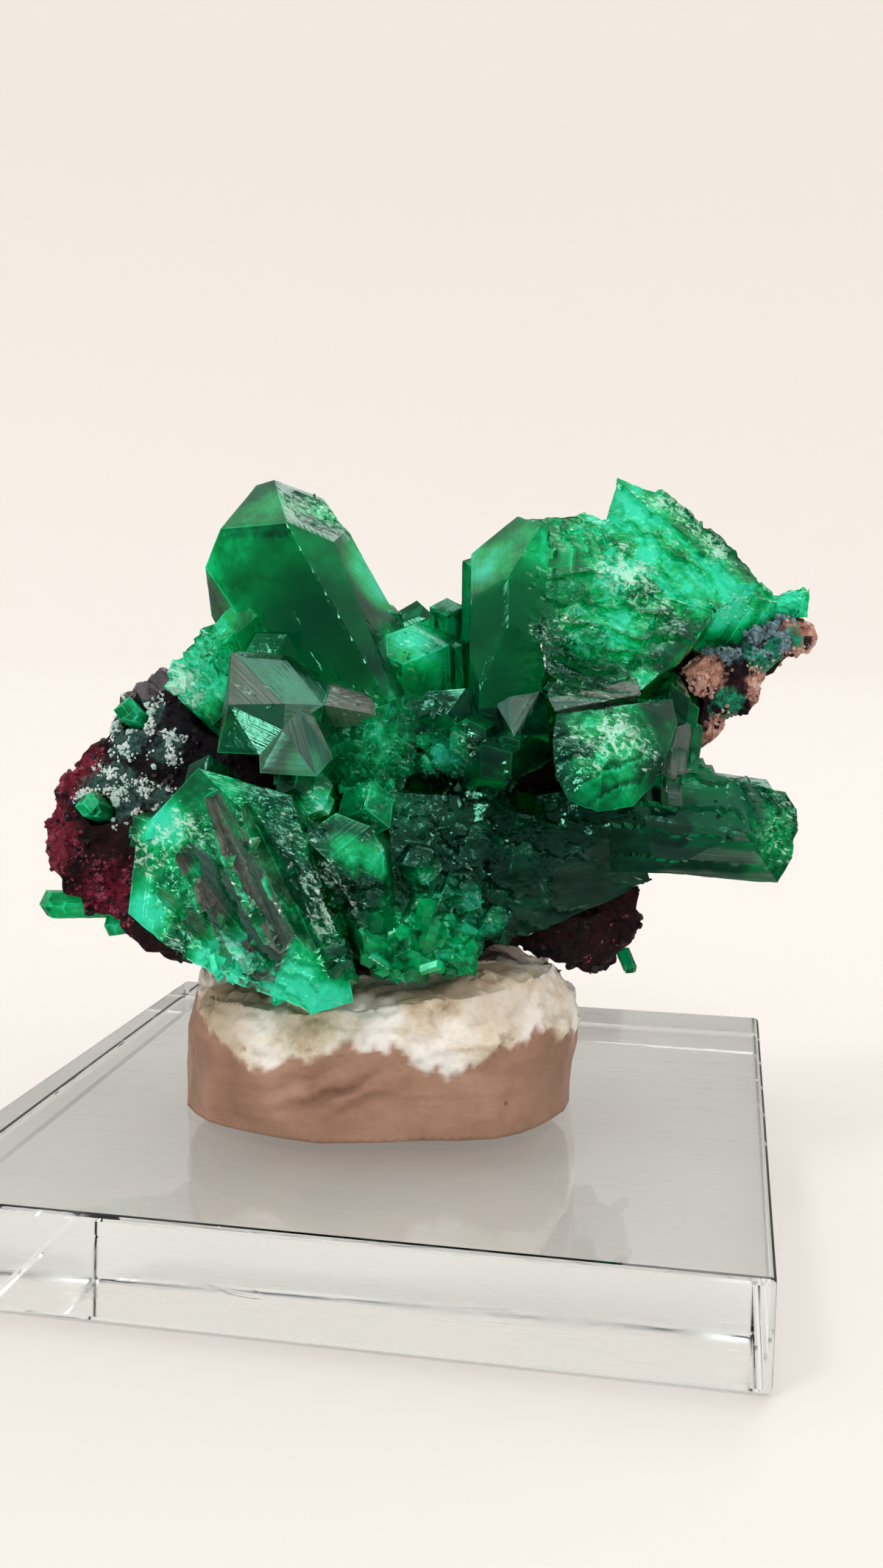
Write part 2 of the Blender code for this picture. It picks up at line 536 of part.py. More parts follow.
def rough_rock(parent):
    """Makes the matrix rock: a few lumps fused, then roughened by layered noise."""
    lumps = [block_of(corners, parent) for corners in ROCK_LUMPS]
    bm = bmesh.new()
    for lump in lumps:
        bm.from_mesh(lump.data)
        bpy.data.objects.remove(lump, do_unlink=True)
    rock = object_from(bm, "matrix_rock", parent)
    fuse = rock.modifiers.new("fuse", "REMESH")
    fuse.mode = "VOXEL"
    fuse.voxel_size = ROCK_VOXEL * MM
    keep_result(rock)
    thin = rock.modifiers.new("thin", "DECIMATE")
    thin.ratio = ROCK_KEPT
    keep_result(rock)
    bm = bmesh.new()
    bm.from_mesh(rock.data)
    bm.normal_update()
    for vert in bm.verts:
        place = vert.co / MM
        height = noise.fractal(place / ROCK_LUMP, 0.9, 2.1, 4)
        ledge = noise.cell(place / ROCK_LUMP * 1.3) - 0.5
        vert.co += vert.normal * MM * ROCK_ROUGHNESS * (height + 0.7 * ledge)
    bm.to_mesh(rock.data)
    bm.free()
    return rock


def enlarged(source, by, parent):
    """Copies a mesh pushed out along its normals, as the cutter that leaves a gap round it."""
    bm = bmesh.new()
    bm.from_mesh(source.data)
    bm.normal_update()
    for vert in bm.verts:
        vert.co += vert.normal * by
    return object_from(bm, "enlarged", parent)


def tack_wad(parent):
    """Makes the pressed wad of mineral tack: bulging sides, a flat underside and a kneaded top."""
    bm = bmesh.new()
    bmesh.ops.create_circle(bm, cap_ends=True, segments=TACK_SEGMENTS, radius=1.0)
    rim = bm.edges[:]
    for ring in range(1, TACK_RINGS + 1):
        made = bmesh.ops.extrude_edge_only(bm, edges=rim)["geom"]
        rim = [item for item in made if isinstance(item, bmesh.types.BMEdge)]
        share = ring / TACK_RINGS
        bulge = 1.0 + 0.07 * math.sin(math.pi * share) - 0.10 * share**4
        for vert in [item for item in made if isinstance(item, bmesh.types.BMVert)]:
            turn = math.atan2(vert.co.y, vert.co.x)
            vert.co = Vector((math.cos(turn) * bulge, math.sin(turn) * bulge, share))
    bmesh.ops.contextual_create(bm, geom=rim)
    top = max(bm.faces, key=lambda face: face.calc_center_median().z)
    for share in (0.75, 0.5, 0.25):
        inset = bmesh.ops.inset_individual(bm, faces=[top], thickness=0.22)
        top = top if top.is_valid else inset["faces"][0]
        for vert in top.verts:
            vert.co.z = 1.0 + 0.05 * (1.0 - share)
    for vert in bm.verts:
        x, y, share = vert.co
        x = math.copysign(abs(x) ** TACK_SQUARENESS, x)
        y = math.copysign(abs(y) ** TACK_SQUARENESS, y)
        place = Vector((x * 2.0, y * 2.0, share * 1.6))
        lump = noise.fractal(place, 1.0, 2.0, 3)
        height = TACK_HEIGHT * (1.0 + 0.10 * x + 0.06 * y) + 0.9 * lump * share
        vert.co = Vector(
            (
                (TACK_CENTRE[0] + x * TACK_REACH[0] * (1.0 + 0.05 * lump)) * MM,
                (TACK_CENTRE[1] + y * TACK_REACH[1] * (1.0 + 0.05 * lump)) * MM,
                GAP + height * share * MM,
            )
        )
    return object_from(bm, "mineral_tack", parent)


def acrylic_block():
    """Makes the clear display block with its finely bevelled edges."""
    bm = bmesh.new()
    bmesh.ops.create_cube(bm, size=1.0)
    bmesh.ops.scale(bm, vec=(BLOCK_SIDE, BLOCK_SIDE, BLOCK_THICKNESS), verts=bm.verts)
    bmesh.ops.translate(bm, vec=(0, 0, BLOCK_THICKNESS / 2), verts=bm.verts)
    bmesh.ops.bevel(bm, geom=bm.edges[:], offset=BLOCK_EDGE, segments=2, profile=0.5, affect="EDGES", material=-1)
    return object_from(bm, "display_block")


def sockets_for(crystals, parent):
    """Makes the shapes that cut room for the crystals and the shards, with the gap all round."""
    sockets = [crystal_object(crystal, parent, GAP) for crystal in crystals]
    return sockets + [block_of(corners, parent, GAP) for corners in SHARDS.values()]


def main():
    """Builds the block, the tack, the rock and the crystals, each as its own solid."""
    clear_scene()
    holder = bpy.data.objects.new("specimen", None)
    bpy.context.scene.collection.objects.link(holder)
    holder.location = (0, 0, BLOCK_THICKNESS)
    holder.rotation_euler = (0, 0, SPECIMEN_TURN)
    bpy.context.view_layer.update()

    clear = finish_of("acrylic", 0.02, clear=1.0)
    tack_finish = finish_of("tack", 0.55)
    rock_finish = finish_of("rock", 0.8)
    green = finish_of("dioptase", 0.08, clear=0.7)

    block = acrylic_block()
    block.data.materials.append(clear)

    main_groups = (
        DARK_LOWER, UPPER_LEFT, LEFT_MIDDLE, CENTRE_TOP, TALL_CENTRE, UPPER_RIGHT, RIGHT_FRONT, LOWER_RIGHT,
        FRONT_BOTTOM, LEFT_FRONT,
    )
    family = crystal_family(main_groups) + druse()
    shards = {name: block_of(corners, holder) for name, corners in SHARDS.items()}
    combine(shards["front plate"], [groove_cutter(groove, holder) for groove in PLATE_GROOVES], "DIFFERENCE")
    pieces = [*shards.values(), *(crystal_object(crystal, holder) for crystal in family)]
    cluster = grown_together("dioptase_cluster", pieces, holder)

    small = {
        "underside_crystals": UNDERSIDE,
        "upper_ledge_crystals": UPPER_LEDGE,
        "lower_ledge_crystals": LOWER_LEDGE,
        "foot_crystal": FOOT,
    }
    greens = [cluster]
    rest = []
    for name, group in small.items():
        members = crystal_family((group,))
        rest += members
        greens.append(grown_together(name, [crystal_object(item, holder) for item in members], holder))
    for made in greens:
        made.data.materials.clear()
        made.data.materials.append(green)

    rock = rough_rock(holder)
    around_rock = [enlarged(rock, by, holder) for by in ROCK_GAPS]
    combine(rock, sockets_for(family + rest, holder), "DIFFERENCE")
    drop_slivers(rock)
    keep_outer_skin(rock)
    rock.data.materials.clear()
    rock.data.materials.append(rock_finish)

    tack = tack_wad(holder)
    low = [crystal for crystal in family + rest if min(crystal.base[2], crystal.tip[2]) < LOW_CRYSTALS]
    combine(tack, [*around_rock, *sockets_for(low, holder)], "DIFFERENCE")
    keep_outer_skin(tack)
    tack.data.materials.clear()
    tack.data.materials.append(tack_finish)


main()
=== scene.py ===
"""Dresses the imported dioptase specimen: emerald crystals with growth relief and lining druse, granular dark matrix
with its crusts, kneaded mineral tack and the clear block, on a plain pale sweep under soft studio light.
"""

import logging
import math
import random
from dataclasses import dataclass, field
from enum import Enum
from typing import Any, Iterable, Sequence

import bmesh
import bpy
import numpy as np
from mathutils import Matrix, Vector, noise


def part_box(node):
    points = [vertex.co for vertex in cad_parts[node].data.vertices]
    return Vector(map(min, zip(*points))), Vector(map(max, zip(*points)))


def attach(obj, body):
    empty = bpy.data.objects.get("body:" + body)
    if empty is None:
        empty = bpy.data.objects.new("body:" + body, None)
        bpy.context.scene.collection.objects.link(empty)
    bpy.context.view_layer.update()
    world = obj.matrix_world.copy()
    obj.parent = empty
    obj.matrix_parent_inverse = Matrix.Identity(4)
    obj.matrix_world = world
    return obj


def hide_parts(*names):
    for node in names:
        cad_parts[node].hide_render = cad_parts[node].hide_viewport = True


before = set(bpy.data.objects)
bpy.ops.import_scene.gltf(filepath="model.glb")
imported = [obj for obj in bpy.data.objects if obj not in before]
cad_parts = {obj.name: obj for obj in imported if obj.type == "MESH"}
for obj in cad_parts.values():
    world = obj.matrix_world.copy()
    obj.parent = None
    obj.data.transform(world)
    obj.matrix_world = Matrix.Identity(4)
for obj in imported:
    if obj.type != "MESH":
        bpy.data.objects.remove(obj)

logging.basicConfig(level=logging.INFO, format="%(message)s")
log = logging.getLogger("dioptase")

MM = 0.001
BODY = "root"
SPECIMEN_TURN = math.radians(10.6)
SENSOR_MM = 36.0
# The floor lies a hair under the clear block, because two faces in one place would darken what is seen through it.
FLOOR_GAP = 0.0002


class Layer(Enum):
    """Names of the painted values that the finishes read."""

    GLOW = "glow"
    CORE = "core"
    SPARK = "spark"
    DULL = "dull"
    TONE = "tone"
    EDGE = "edge"
    BROKEN = "broken"
    STEP = "step"
    CRUST = "crust"
    PINK = "pink"
    BAND = "band"
    SOOT = "soot"
    RUST = "rust"
    STAIN = "stain"
    TORN = "torn"


@dataclass(frozen=True)
class Zone:
    """A soft ball in which a painted value rises. Centre and reach are in the specimen's own millimetres."""

    centre: tuple[float, float, float]
    reach: float
    amount: float


@dataclass(frozen=True)
class Ledges:
    """Growth or fracture steps in a soft ball.

    Each step's tread sinks slowly along the across direction, and its riser springs back. Sizes are in the specimen's
    own millimetres. With an apex, the steps fan out from it instead, and the period is an angle in degrees.
    """

    centre: tuple[float, float, float]
    reach: float
    across: tuple[float, float, float]
    period: float
    depth: float
    waviness: float = 0.5
    apex: tuple[float, float, float] | None = None

    def at(self, place: Vector) -> tuple[float, float]:
        """Finds where a place lies on its step.

        Args:
            place: a point in the specimen's millimetres.

        Returns:
            How far across the tread it is, from 0 to 1, and how strong the steps are there.
        """
        away = (place - Vector(self.centre)).length / self.reach
        if away >= 1.0:
            return 0.5, 0.0
        wave = self.waviness * (noise.noise(place / 2.2) + 0.35 * noise.noise(place / 0.8))
        along = place.dot(Vector(self.across))
        if self.apex:
            offset = place - Vector(self.apex)
            along = math.degrees(math.atan2(offset.x, -offset.z))
        return (along / self.period + wave) % 1.0, min(1.0, 2.0 * (1.0 - away))


def specimen_to_world() -> Matrix:
    """Returns the matrix from the specimen's own millimetres to the row frame in metres."""
    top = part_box("display_block")[1][2]
    return Matrix.Translation((0, 0, top)) @ Matrix.Rotation(SPECIMEN_TURN, 4, "Z") @ Matrix.Scale(MM, 4)


TO_WORLD = specimen_to_world()
TO_SPECIMEN = TO_WORLD.inverted()


def linear(colour: str) -> tuple[float, float, float, float]:
    """Turns an sRGB hex colour into linear RGBA.

    Args:
        colour: six hex digits with a leading #.

    Returns:
        The linear colour, fully opaque.
    """
    channels = (int(colour[i : i + 2], 16) / 255 for i in (1, 3, 5))
    return (*(c / 12.92 if c <= 0.04045 else ((c + 0.055) / 1.055) ** 2.4 for c in channels), 1.0)


class Sheet:
    """A new material's nodes: its shader, its output and the piece's own coordinates in millimetres."""

    def __init__(self, name: str) -> None:
        """Starts an empty material with a shader."""
        self.material = bpy.data.materials.new(name)
        self.material.use_nodes = True
        self.tree = self.material.node_tree
        self.tree.nodes.clear()
        self.shader = self.add("ShaderNodeBsdfPrincipled").node
        self.output = self.tree.nodes.new("ShaderNodeOutputMaterial")
        self.tree.links.new(self.shader.outputs["BSDF"], self.output.inputs["Surface"])
        place = self.add("ShaderNodeTexCoord", out="Object")
        self.place = self.add("ShaderNodeMapping", {"Scale": (1 / MM,) * 3}, {"Vector": place})

    def add(self, kind: str, settings: dict | None = None, links: dict | None = None, out: int | str = 0) -> Any:
        """Adds a node with its settings and links.

        Args:
            kind: the node's type.
            settings: property or input names, or input numbers, and their values. A colour may be sRGB hex, and
                stops are a colour ramp's places and hex colours.
            links: input names or numbers, and the sockets that feed them.
            out: the name or number of the output wanted.

        Returns:
            That output socket.
        """
        made = self.tree.nodes.new(kind)
        for key, value in (settings or {}).items():
            if key == "stops":
                while len(made.color_ramp.elements) < len(value):
                    made.color_ramp.elements.new(1.0)
                for element, (place, colour) in zip(made.color_ramp.elements, value):
                    element.position = place
                    element.color = linear(colour)
            elif isinstance(key, str) and hasattr(made, key):
                setattr(made, key, value)
            else:
                made.inputs[key].default_value = linear(value) if isinstance(value, str) else value
        for key, socket in (links or {}).items():
            self.tree.links.new(socket, made.inputs[key])
        return made.outputs[out]

    def shade(self, settings: dict | None = None, links: dict | None = None) -> None:
        """Sets even values on the shader's own sockets and feeds others from patterns."""
        for key, value in (settings or {}).items():
            self.shader.inputs[key].default_value = value
        for key, socket in (links or {}).items():
            self.tree.links.new(socket, self.shader.inputs[key])

    def soak(self, colour: tuple[float, float, float, float], density: float) -> None:
        """Gives the inside plain absorption, density per metre."""
        volume = self.add("ShaderNodeVolumeAbsorption", {"Color": colour, "Density": density})
        self.tree.links.new(volume, self.output.inputs["Volume"])


@dataclass(frozen=True)
class DioptaseFinish:
    """Dioptase, a copper silicate grown from water: vitreous, deep emerald, full of milky healed cracks.

    Clear parts are dark because the green soaks up light over a few millimetres, and painted shade darkens thick and
    shaded places further. Cracks throw light back as turquoise and thin places get a painted glow, broken ridges are
    sugary white with painted glints, and a few faces lie dull and grey-green with growth lines, partly a painted grey
    sheen.
    """

    name: str = "dioptase"
    deep: str = "#00684A"
    body: str = "#009C5A"
    bright: str = "#04DC7E"
    pale: str = "#3CFFCC"
    core: str = "#003A36"
    slate: str = "#4A6A64"
    mauve: str = "#7E7470"
    dull_line: str = "#2E423E"
    # White of the sugar, and of painted glints where small chip faces catch the light.
    sugar_and_glints: str = "#DCFFF4"
    gleam: str = "#8CF0CC"
    ior: float = 1.66
    absorption: tuple[float, float, float, float] = (0.02, 0.86, 0.60, 1.0)
    density_per_m: float = 330.0
    cloud_mm: float = 3.2
    fine_mm: float = 0.64
    striation_mm: float = 0.16
    # Real glints are finer than this; drawn so coarse they still show in the render.
    glint_mm: tuple[float, float, float] = (0.46, 0.26, 0.15)
    glint_lean: float = 0.7
    # Healed cracks run as fine curved lines, longer across the specimen than up it.
    crack_mm: tuple[float, float, float] = (1.5, 1.0, 0.75)

    def make(self) -> bpy.types.Material:
        """Builds the material."""
        sheet = Sheet(self.name)
        add, place = sheet.add, sheet.place
        glow, core, spark, dull, tone, edge, broken, step = (
            add("ShaderNodeAttribute", {"attribute_name": layer.value}, out="Fac")
            for layer in (
                Layer.GLOW, Layer.CORE, Layer.SPARK, Layer.DULL, Layer.TONE, Layer.EDGE, Layer.BROKEN, Layer.STEP,
            )
        )
        cloud = add(
            "ShaderNodeTexNoise", {"Scale": 1 / self.cloud_mm, "Detail": 6.0, "Roughness": 0.62}, {"Vector": place}
        )
        fine = add(
            "ShaderNodeTexNoise", {"Scale": 1 / self.fine_mm, "Detail": 4.0, "Roughness": 0.7}, {"Vector": place}
        )
        facet = add("ShaderNodeUVMap", {"uv_map": "facet"})
        lines = add(
            "ShaderNodeMapping", {"Scale": (1 / self.striation_mm, 0.03 / self.striation_mm, 1.0)}, {"Vector": facet}
        )
        grown = add("ShaderNodeTexNoise", {"Scale": 1.0, "Detail": 3.0}, {"Vector": lines})

        # Milky clouds and a tone for each facet vary the glow; thin edges get a painted highlight, the lips of steps a
        # painted highlight, and the place under each lip a painted shade.
        cloud = add(
            "ShaderNodeMapRange", {"From Min": 0.34, "From Max": 0.66, "To Min": -0.22, "To Max": 0.26},
            {"Value": cloud},
        )
        speck = add("ShaderNodeMapRange", {"From Min": 0.4, "From Max": 0.7, "To Min": -0.1, "To Max": 0.3}, {"Value": fine})
        busy = add("ShaderNodeMapRange", {"From Max": 0.6, "To Min": 0.18}, {"Value": broken})
        speck = add("ShaderNodeMath", {"operation": "MULTIPLY"}, {0: speck, 1: busy})
        # Painted highlight: sharp edges are lightened, as if they caught the light.
        thin = add("ShaderNodeMapRange", {"From Min": 0.75, "From Max": 1.0, "To Max": 0.35}, {"Value": edge})
        # Painted highlight on the lip of each step, and painted shade just under it.
        lip_highlight = add("ShaderNodeMapRange", {"From Min": 0.7, "From Max": 0.95, "To Max": 1.0}, {"Value": step})
        under = add("ShaderNodeMapRange", {"From Min": 0.12, "From Max": 0.4, "To Min": 1.0, "To Max": 0.0}, {"Value": step})
        # The painted glow: milky cracks, and painted light where thin places let light through.
        glow = add("ShaderNodeMath", {"operation": "ADD"}, {0: glow, 1: cloud})
        glow = add("ShaderNodeMath", {"operation": "MULTIPLY_ADD", 1: 0.22}, {0: tone, 2: glow})
        glow = add("ShaderNodeMath", {"operation": "ADD"}, {0: glow, 1: thin})
        glow = add("ShaderNodeMath", {"operation": "ADD"}, {0: glow, 1: speck})
        glow = add("ShaderNodeMath", {"operation": "MULTIPLY_ADD", 1: 0.3}, {0: lip_highlight, 2: glow})
        glow = add("ShaderNodeMath", {"operation": "MULTIPLY_ADD", 1: -0.28, "use_clamp": True}, {0: under, 2: glow})
        # The glow, with its painted light and shade, picks the green from deep to pale turquoise.
        colour = add(
            "ShaderNodeValToRGB",
            {"stops": ((0.0, self.deep), (0.4, self.body), (0.7, self.bright), (1.0, self.pale))}, {"Fac": glow},
        )
        # Painted shade: thick and shaded places take the dark core colour.
        colour = add("ShaderNodeMix", {"data_type": "RGBA", 7: self.core}, {0: core, 6: colour}, out=2)

        # Dull faces are ruled with growth lines; their grey-green is partly frosting and partly a painted grey sheen.
        face = add("ShaderNodeMix", {"data_type": "RGBA", 6: self.slate, 7: self.mauve}, {0: tone}, out=2)
        ruled = add("ShaderNodeMapRange", {"From Min": 0.4, "From Max": 0.6, "To Min": 0.6, "To Max": 0.0}, {"Value": grown})
        ruled = add("ShaderNodeMix", {"data_type": "RGBA", 7: self.dull_line}, {0: ruled, 6: face}, out=2)
        dull = add("ShaderNodeMath", {"operation": "MULTIPLY"}, {0: dull, 1: add(
            "ShaderNodeMapRange", {"From Min": 0.52, "From Max": 0.66, "To Min": 1.0, "To Max": 0.15}, {"Value": step},
        )})
        colour = add("ShaderNodeMix", {"data_type": "RGBA"}, {0: dull, 6: colour, 7: ruled}, out=2)

        # Sugary specks and fine curved cracks, more of them where the sugar is thick; the chip specks are painted
        # glints, small faces shown catching the light.
        # The painted highlight on step lips also brings more painted glints.
        spark = add("ShaderNodeMath", {"operation": "MULTIPLY_ADD", 1: 0.3}, {0: lip_highlight, 2: spark})
        spark = add("ShaderNodeMath", {"operation": "MULTIPLY"}, {0: spark, 1: add(
            "ShaderNodeMapRange", {"From Min": 0.42, "From Max": 0.56, "To Min": 0.35}, {"Value": fine},
        )})
        drawn = add(
            "ShaderNodeMapping", {"vector_type": "TEXTURE", "Rotation": (0.0, 0.35, SPECIMEN_TURN), "Scale": self.crack_mm},
            {"Vector": place},
        )
        crack = add("ShaderNodeTexNoise", {"Scale": 1.0, "Detail": 3.0, "Roughness": 0.6, "Distortion": 1.1}, {"Vector": drawn})
        crack = add("ShaderNodeMath", {"operation": "PINGPONG", 1: 0.5}, {0: add(
            "ShaderNodeMath", {"operation": "MULTIPLY", 1: 4.0}, {0: crack},
        )})
        crack = add("ShaderNodeMapRange", {"From Min": 0.3, "From Max": 0.42}, {"Value": crack})
        crack = add("ShaderNodeMath", {"operation": "MULTIPLY"}, {0: crack, 1: busy})
        crack = add("ShaderNodeMath", {"operation": "MULTIPLY"}, {0: crack, 1: add(
            "ShaderNodeMapRange", {"From Min": 0.15, "From Max": 0.6}, {"Value": spark},
        )})
        flaked = add(
            "ShaderNodeMapping", {"vector_type": "TEXTURE", "Rotation": (0.0, 0.35, SPECIMEN_TURN), "Scale": self.glint_mm},
            {"Vector": place},
        )
        chip = add("ShaderNodeTexVoronoi", {"Scale": 1.0}, {"Vector": flaked}, out="Color")
        chance = add("ShaderNodeSeparateColor", links={0: chip})
        # Painted glints: chip cells are lit white, more often where sparks are strong.
        often = add("ShaderNodeMath", {"operation": "MULTIPLY_ADD", 1: 0.3}, {0: spark, 2: chance})
        sugar_and_glints = add("ShaderNodeMapRange", {"From Min": 1.0, "From Max": 1.1, "To Max": 0.85}, {"Value": often})
        sugar_and_glints = add("ShaderNodeMath", {"operation": "MAXIMUM"}, {0: sugar_and_glints, 1: crack})
        thick = add("ShaderNodeMapRange", {"From Min": 0.6, "From Max": 0.95, "To Max": 0.85}, {"Value": spark})
        sugar_and_glints = add("ShaderNodeMath", {"operation": "MAXIMUM"}, {0: sugar_and_glints, 1: thick})
        sugar_and_glints = add("ShaderNodeMath", {"operation": "MULTIPLY", 1: 0.85}, {0: sugar_and_glints})
        colour = add("ShaderNodeMix", {"data_type": "RGBA", 7: self.sugar_and_glints}, {0: sugar_and_glints, 6: colour}, out=2)

        frost = add("ShaderNodeMath", {"operation": "MAXIMUM"}, {0: sugar_and_glints, 1: dull})
        through = add("ShaderNodeMapRange", {"From Min": 0.1, "To Min": 0.9, "To Max": 0.3}, {"Value": glow})
        through = add(
            "ShaderNodeMath", {"operation": "MULTIPLY"},
            {0: through, 1: add("ShaderNodeMapRange", {"To Min": 1.0, "To Max": 0.15}, {"Value": frost})},
        )
        rough = add("ShaderNodeMapRange", {"From Min": 0.35, "From Max": 0.7, "To Min": 0.1, "To Max": 0.55}, {"Value": fine})
        rough = add("ShaderNodeMath", {"operation": "MULTIPLY"}, {0: rough, 1: broken})
        rough = add("ShaderNodeMath", {"operation": "MULTIPLY_ADD", 1: 0.2}, {0: frost, 2: rough})
        rough = add("ShaderNodeMath", {"operation": "ADD", 1: 0.035}, {0: rough})

        height = add("ShaderNodeMath", {"operation": "ADD"}, {0: grown, 1: fine})
        bump = add("ShaderNodeBump", {"Strength": 0.35, "Distance": 0.00006}, {"Height": height})
        lean = add("ShaderNodeVectorMath", {"operation": "SUBTRACT", 1: (0.5, 0.5, 0.5)}, {0: chip})
        share = add(
            "ShaderNodeMapRange", {"From Min": 0.1, "From Max": 0.8, "To Max": self.glint_lean},
            {"Value": add("ShaderNodeMath", {"operation": "MAXIMUM"}, {0: broken, 1: spark})},
        )
        lean = add("ShaderNodeVectorMath", {"operation": "SCALE"}, {0: lean, "Scale": share})
        normal = add("ShaderNodeVectorMath", {"operation": "ADD"}, {0: bump, 1: lean})
        normal = add("ShaderNodeVectorMath", {"operation": "NORMALIZE"}, {0: normal})
        sheet.shade(
            {"IOR": self.ior, "Specular Tint": linear(self.gleam)},
            {"Base Color": colour, "Transmission Weight": through, "Roughness": rough, "Normal": normal},
        )
        sheet.soak(self.absorption, self.density_per_m)
        return sheet.material


@dataclass(frozen=True)
class MatrixFinish:
    """Oxidised copper ore: dark, sugary maroon grains, in places sooty black, under crusts or rusted pink."""

    name: str = "oxidised ore matrix"
    grain_mm: float = 0.55
    ore: tuple[tuple[float, str], ...] = (
        (0.3, "#08060A"), (0.45, "#160B12"), (0.55, "#2C0E18"), (0.66, "#4C1624"), (0.8, "#6E3440"),
    )
    # For each layer: its dark colour, its light colour and how sharp its border is.
    coats: tuple[tuple[Layer, str, str, float], ...] = (
        (Layer.RUST, "#360814", "#A02442", 0.25),
        (Layer.SOOT, "#040308", "#16101C", 0.25),
        (Layer.BAND, "#0A1418", "#45666E", 0.22),
        (Layer.PINK, "#96544A", "#F0C0AC", 0.22),
        (Layer.CRUST, "#081214", "#4E7C74", 0.16),
        (Layer.STAIN, "#063C30", "#22B88C", 0.2),
    )

    def make(self) -> bpy.types.Material:
        """Builds the material."""
        sheet = Sheet(self.name)
        add, place = sheet.add, sheet.place
        broad = add("ShaderNodeTexNoise", {"Scale": 0.28, "Detail": 5.0, "Roughness": 0.65}, {"Vector": place})
        fine = add("ShaderNodeTexNoise", {"Scale": 2.4, "Detail": 5.0, "Roughness": 0.75}, {"Vector": place})
        grain = add("ShaderNodeTexVoronoi", {"Scale": 1 / self.grain_mm}, {"Vector": place}, out="Distance")
        mixture = add("ShaderNodeMix", {0: 0.45}, {2: broad, 3: fine})
        colour = add("ShaderNodeValToRGB", {"stops": self.ore}, {"Fac": mixture})
        light = add("ShaderNodeMapRange", {"From Min": 0.35, "From Max": 0.68}, {"Value": fine})
        ragged = add(
            "ShaderNodeMapRange", {"From Min": 0.3, "From Max": 0.7, "To Min": -0.3, "To Max": 0.3}, {"Value": fine}
        )
        for layer, dark, pale, sharp in self.coats:
            there = add("ShaderNodeAttribute", {"attribute_name": layer.value}, out="Fac")
            there = add("ShaderNodeMath", {"operation": "ADD"}, {0: there, 1: ragged})
            there = add(
                "ShaderNodeMapRange", {"From Min": 0.5 - sharp, "From Max": 0.5 + sharp}, {"Value": there}
            )
            coat = add("ShaderNodeMix", {"data_type": "RGBA", 6: dark, 7: pale}, {0: light}, out=2)
            colour = add("ShaderNodeMix", {"data_type": "RGBA"}, {0: there, 6: colour, 7: coat}, out=2)
        rough = add(
            "ShaderNodeMapRange", {"From Min": 0.3, "From Max": 0.7, "To Min": 0.75, "To Max": 0.28}, {"Value": fine}
        )
        height = add("ShaderNodeMath", {"operation": "MULTIPLY", 1: 1.4}, {0: fine})
        height = add("ShaderNodeMath", {"operation": "SUBTRACT"}, {0: height, 1: grain})
        bump = add("ShaderNodeBump", {"Strength": 0.8, "Distance": 0.00025}, {"Height": height})
        sheet.shade({"Specular IOR Level": 0.25}, {"Base Color": colour, "Roughness": rough, "Normal": bump})
        return sheet.material


@dataclass(frozen=True)
class GrainFinish:
    """Tiny crystals that stand on the ore, each a little different."""

    name: str
    dark: str
    light: str
    rough: float = 0.3

    def make(self) -> bpy.types.Material:
        """Builds the material."""
        sheet = Sheet(self.name)
        fine = sheet.add("ShaderNodeTexNoise", {"Scale": 1.1, "Detail": 4.0, "Roughness": 0.7}, {"Vector": sheet.place})
        tone = sheet.add("ShaderNodeAttribute", {"attribute_name": Layer.TONE.value}, out="Fac")
        share = sheet.add("ShaderNodeMapRange", {"From Min": 0.3, "From Max": 0.7, "To Max": 0.6}, {"Value": fine})
        share = sheet.add("ShaderNodeMath", {"operation": "MULTIPLY_ADD", 1: 0.4}, {0: tone, 2: share})
        colour = sheet.add(
            "ShaderNodeMix", {"data_type": "RGBA", 6: self.dark, 7: self.light}, {0: share}, out=2
        )
        rough = sheet.add("ShaderNodeMapRange", {"To Min": self.rough + 0.15, "To Max": self.rough}, {"Value": share})
        sheet.shade(links={"Base Color": colour, "Roughness": rough})
        return sheet.material


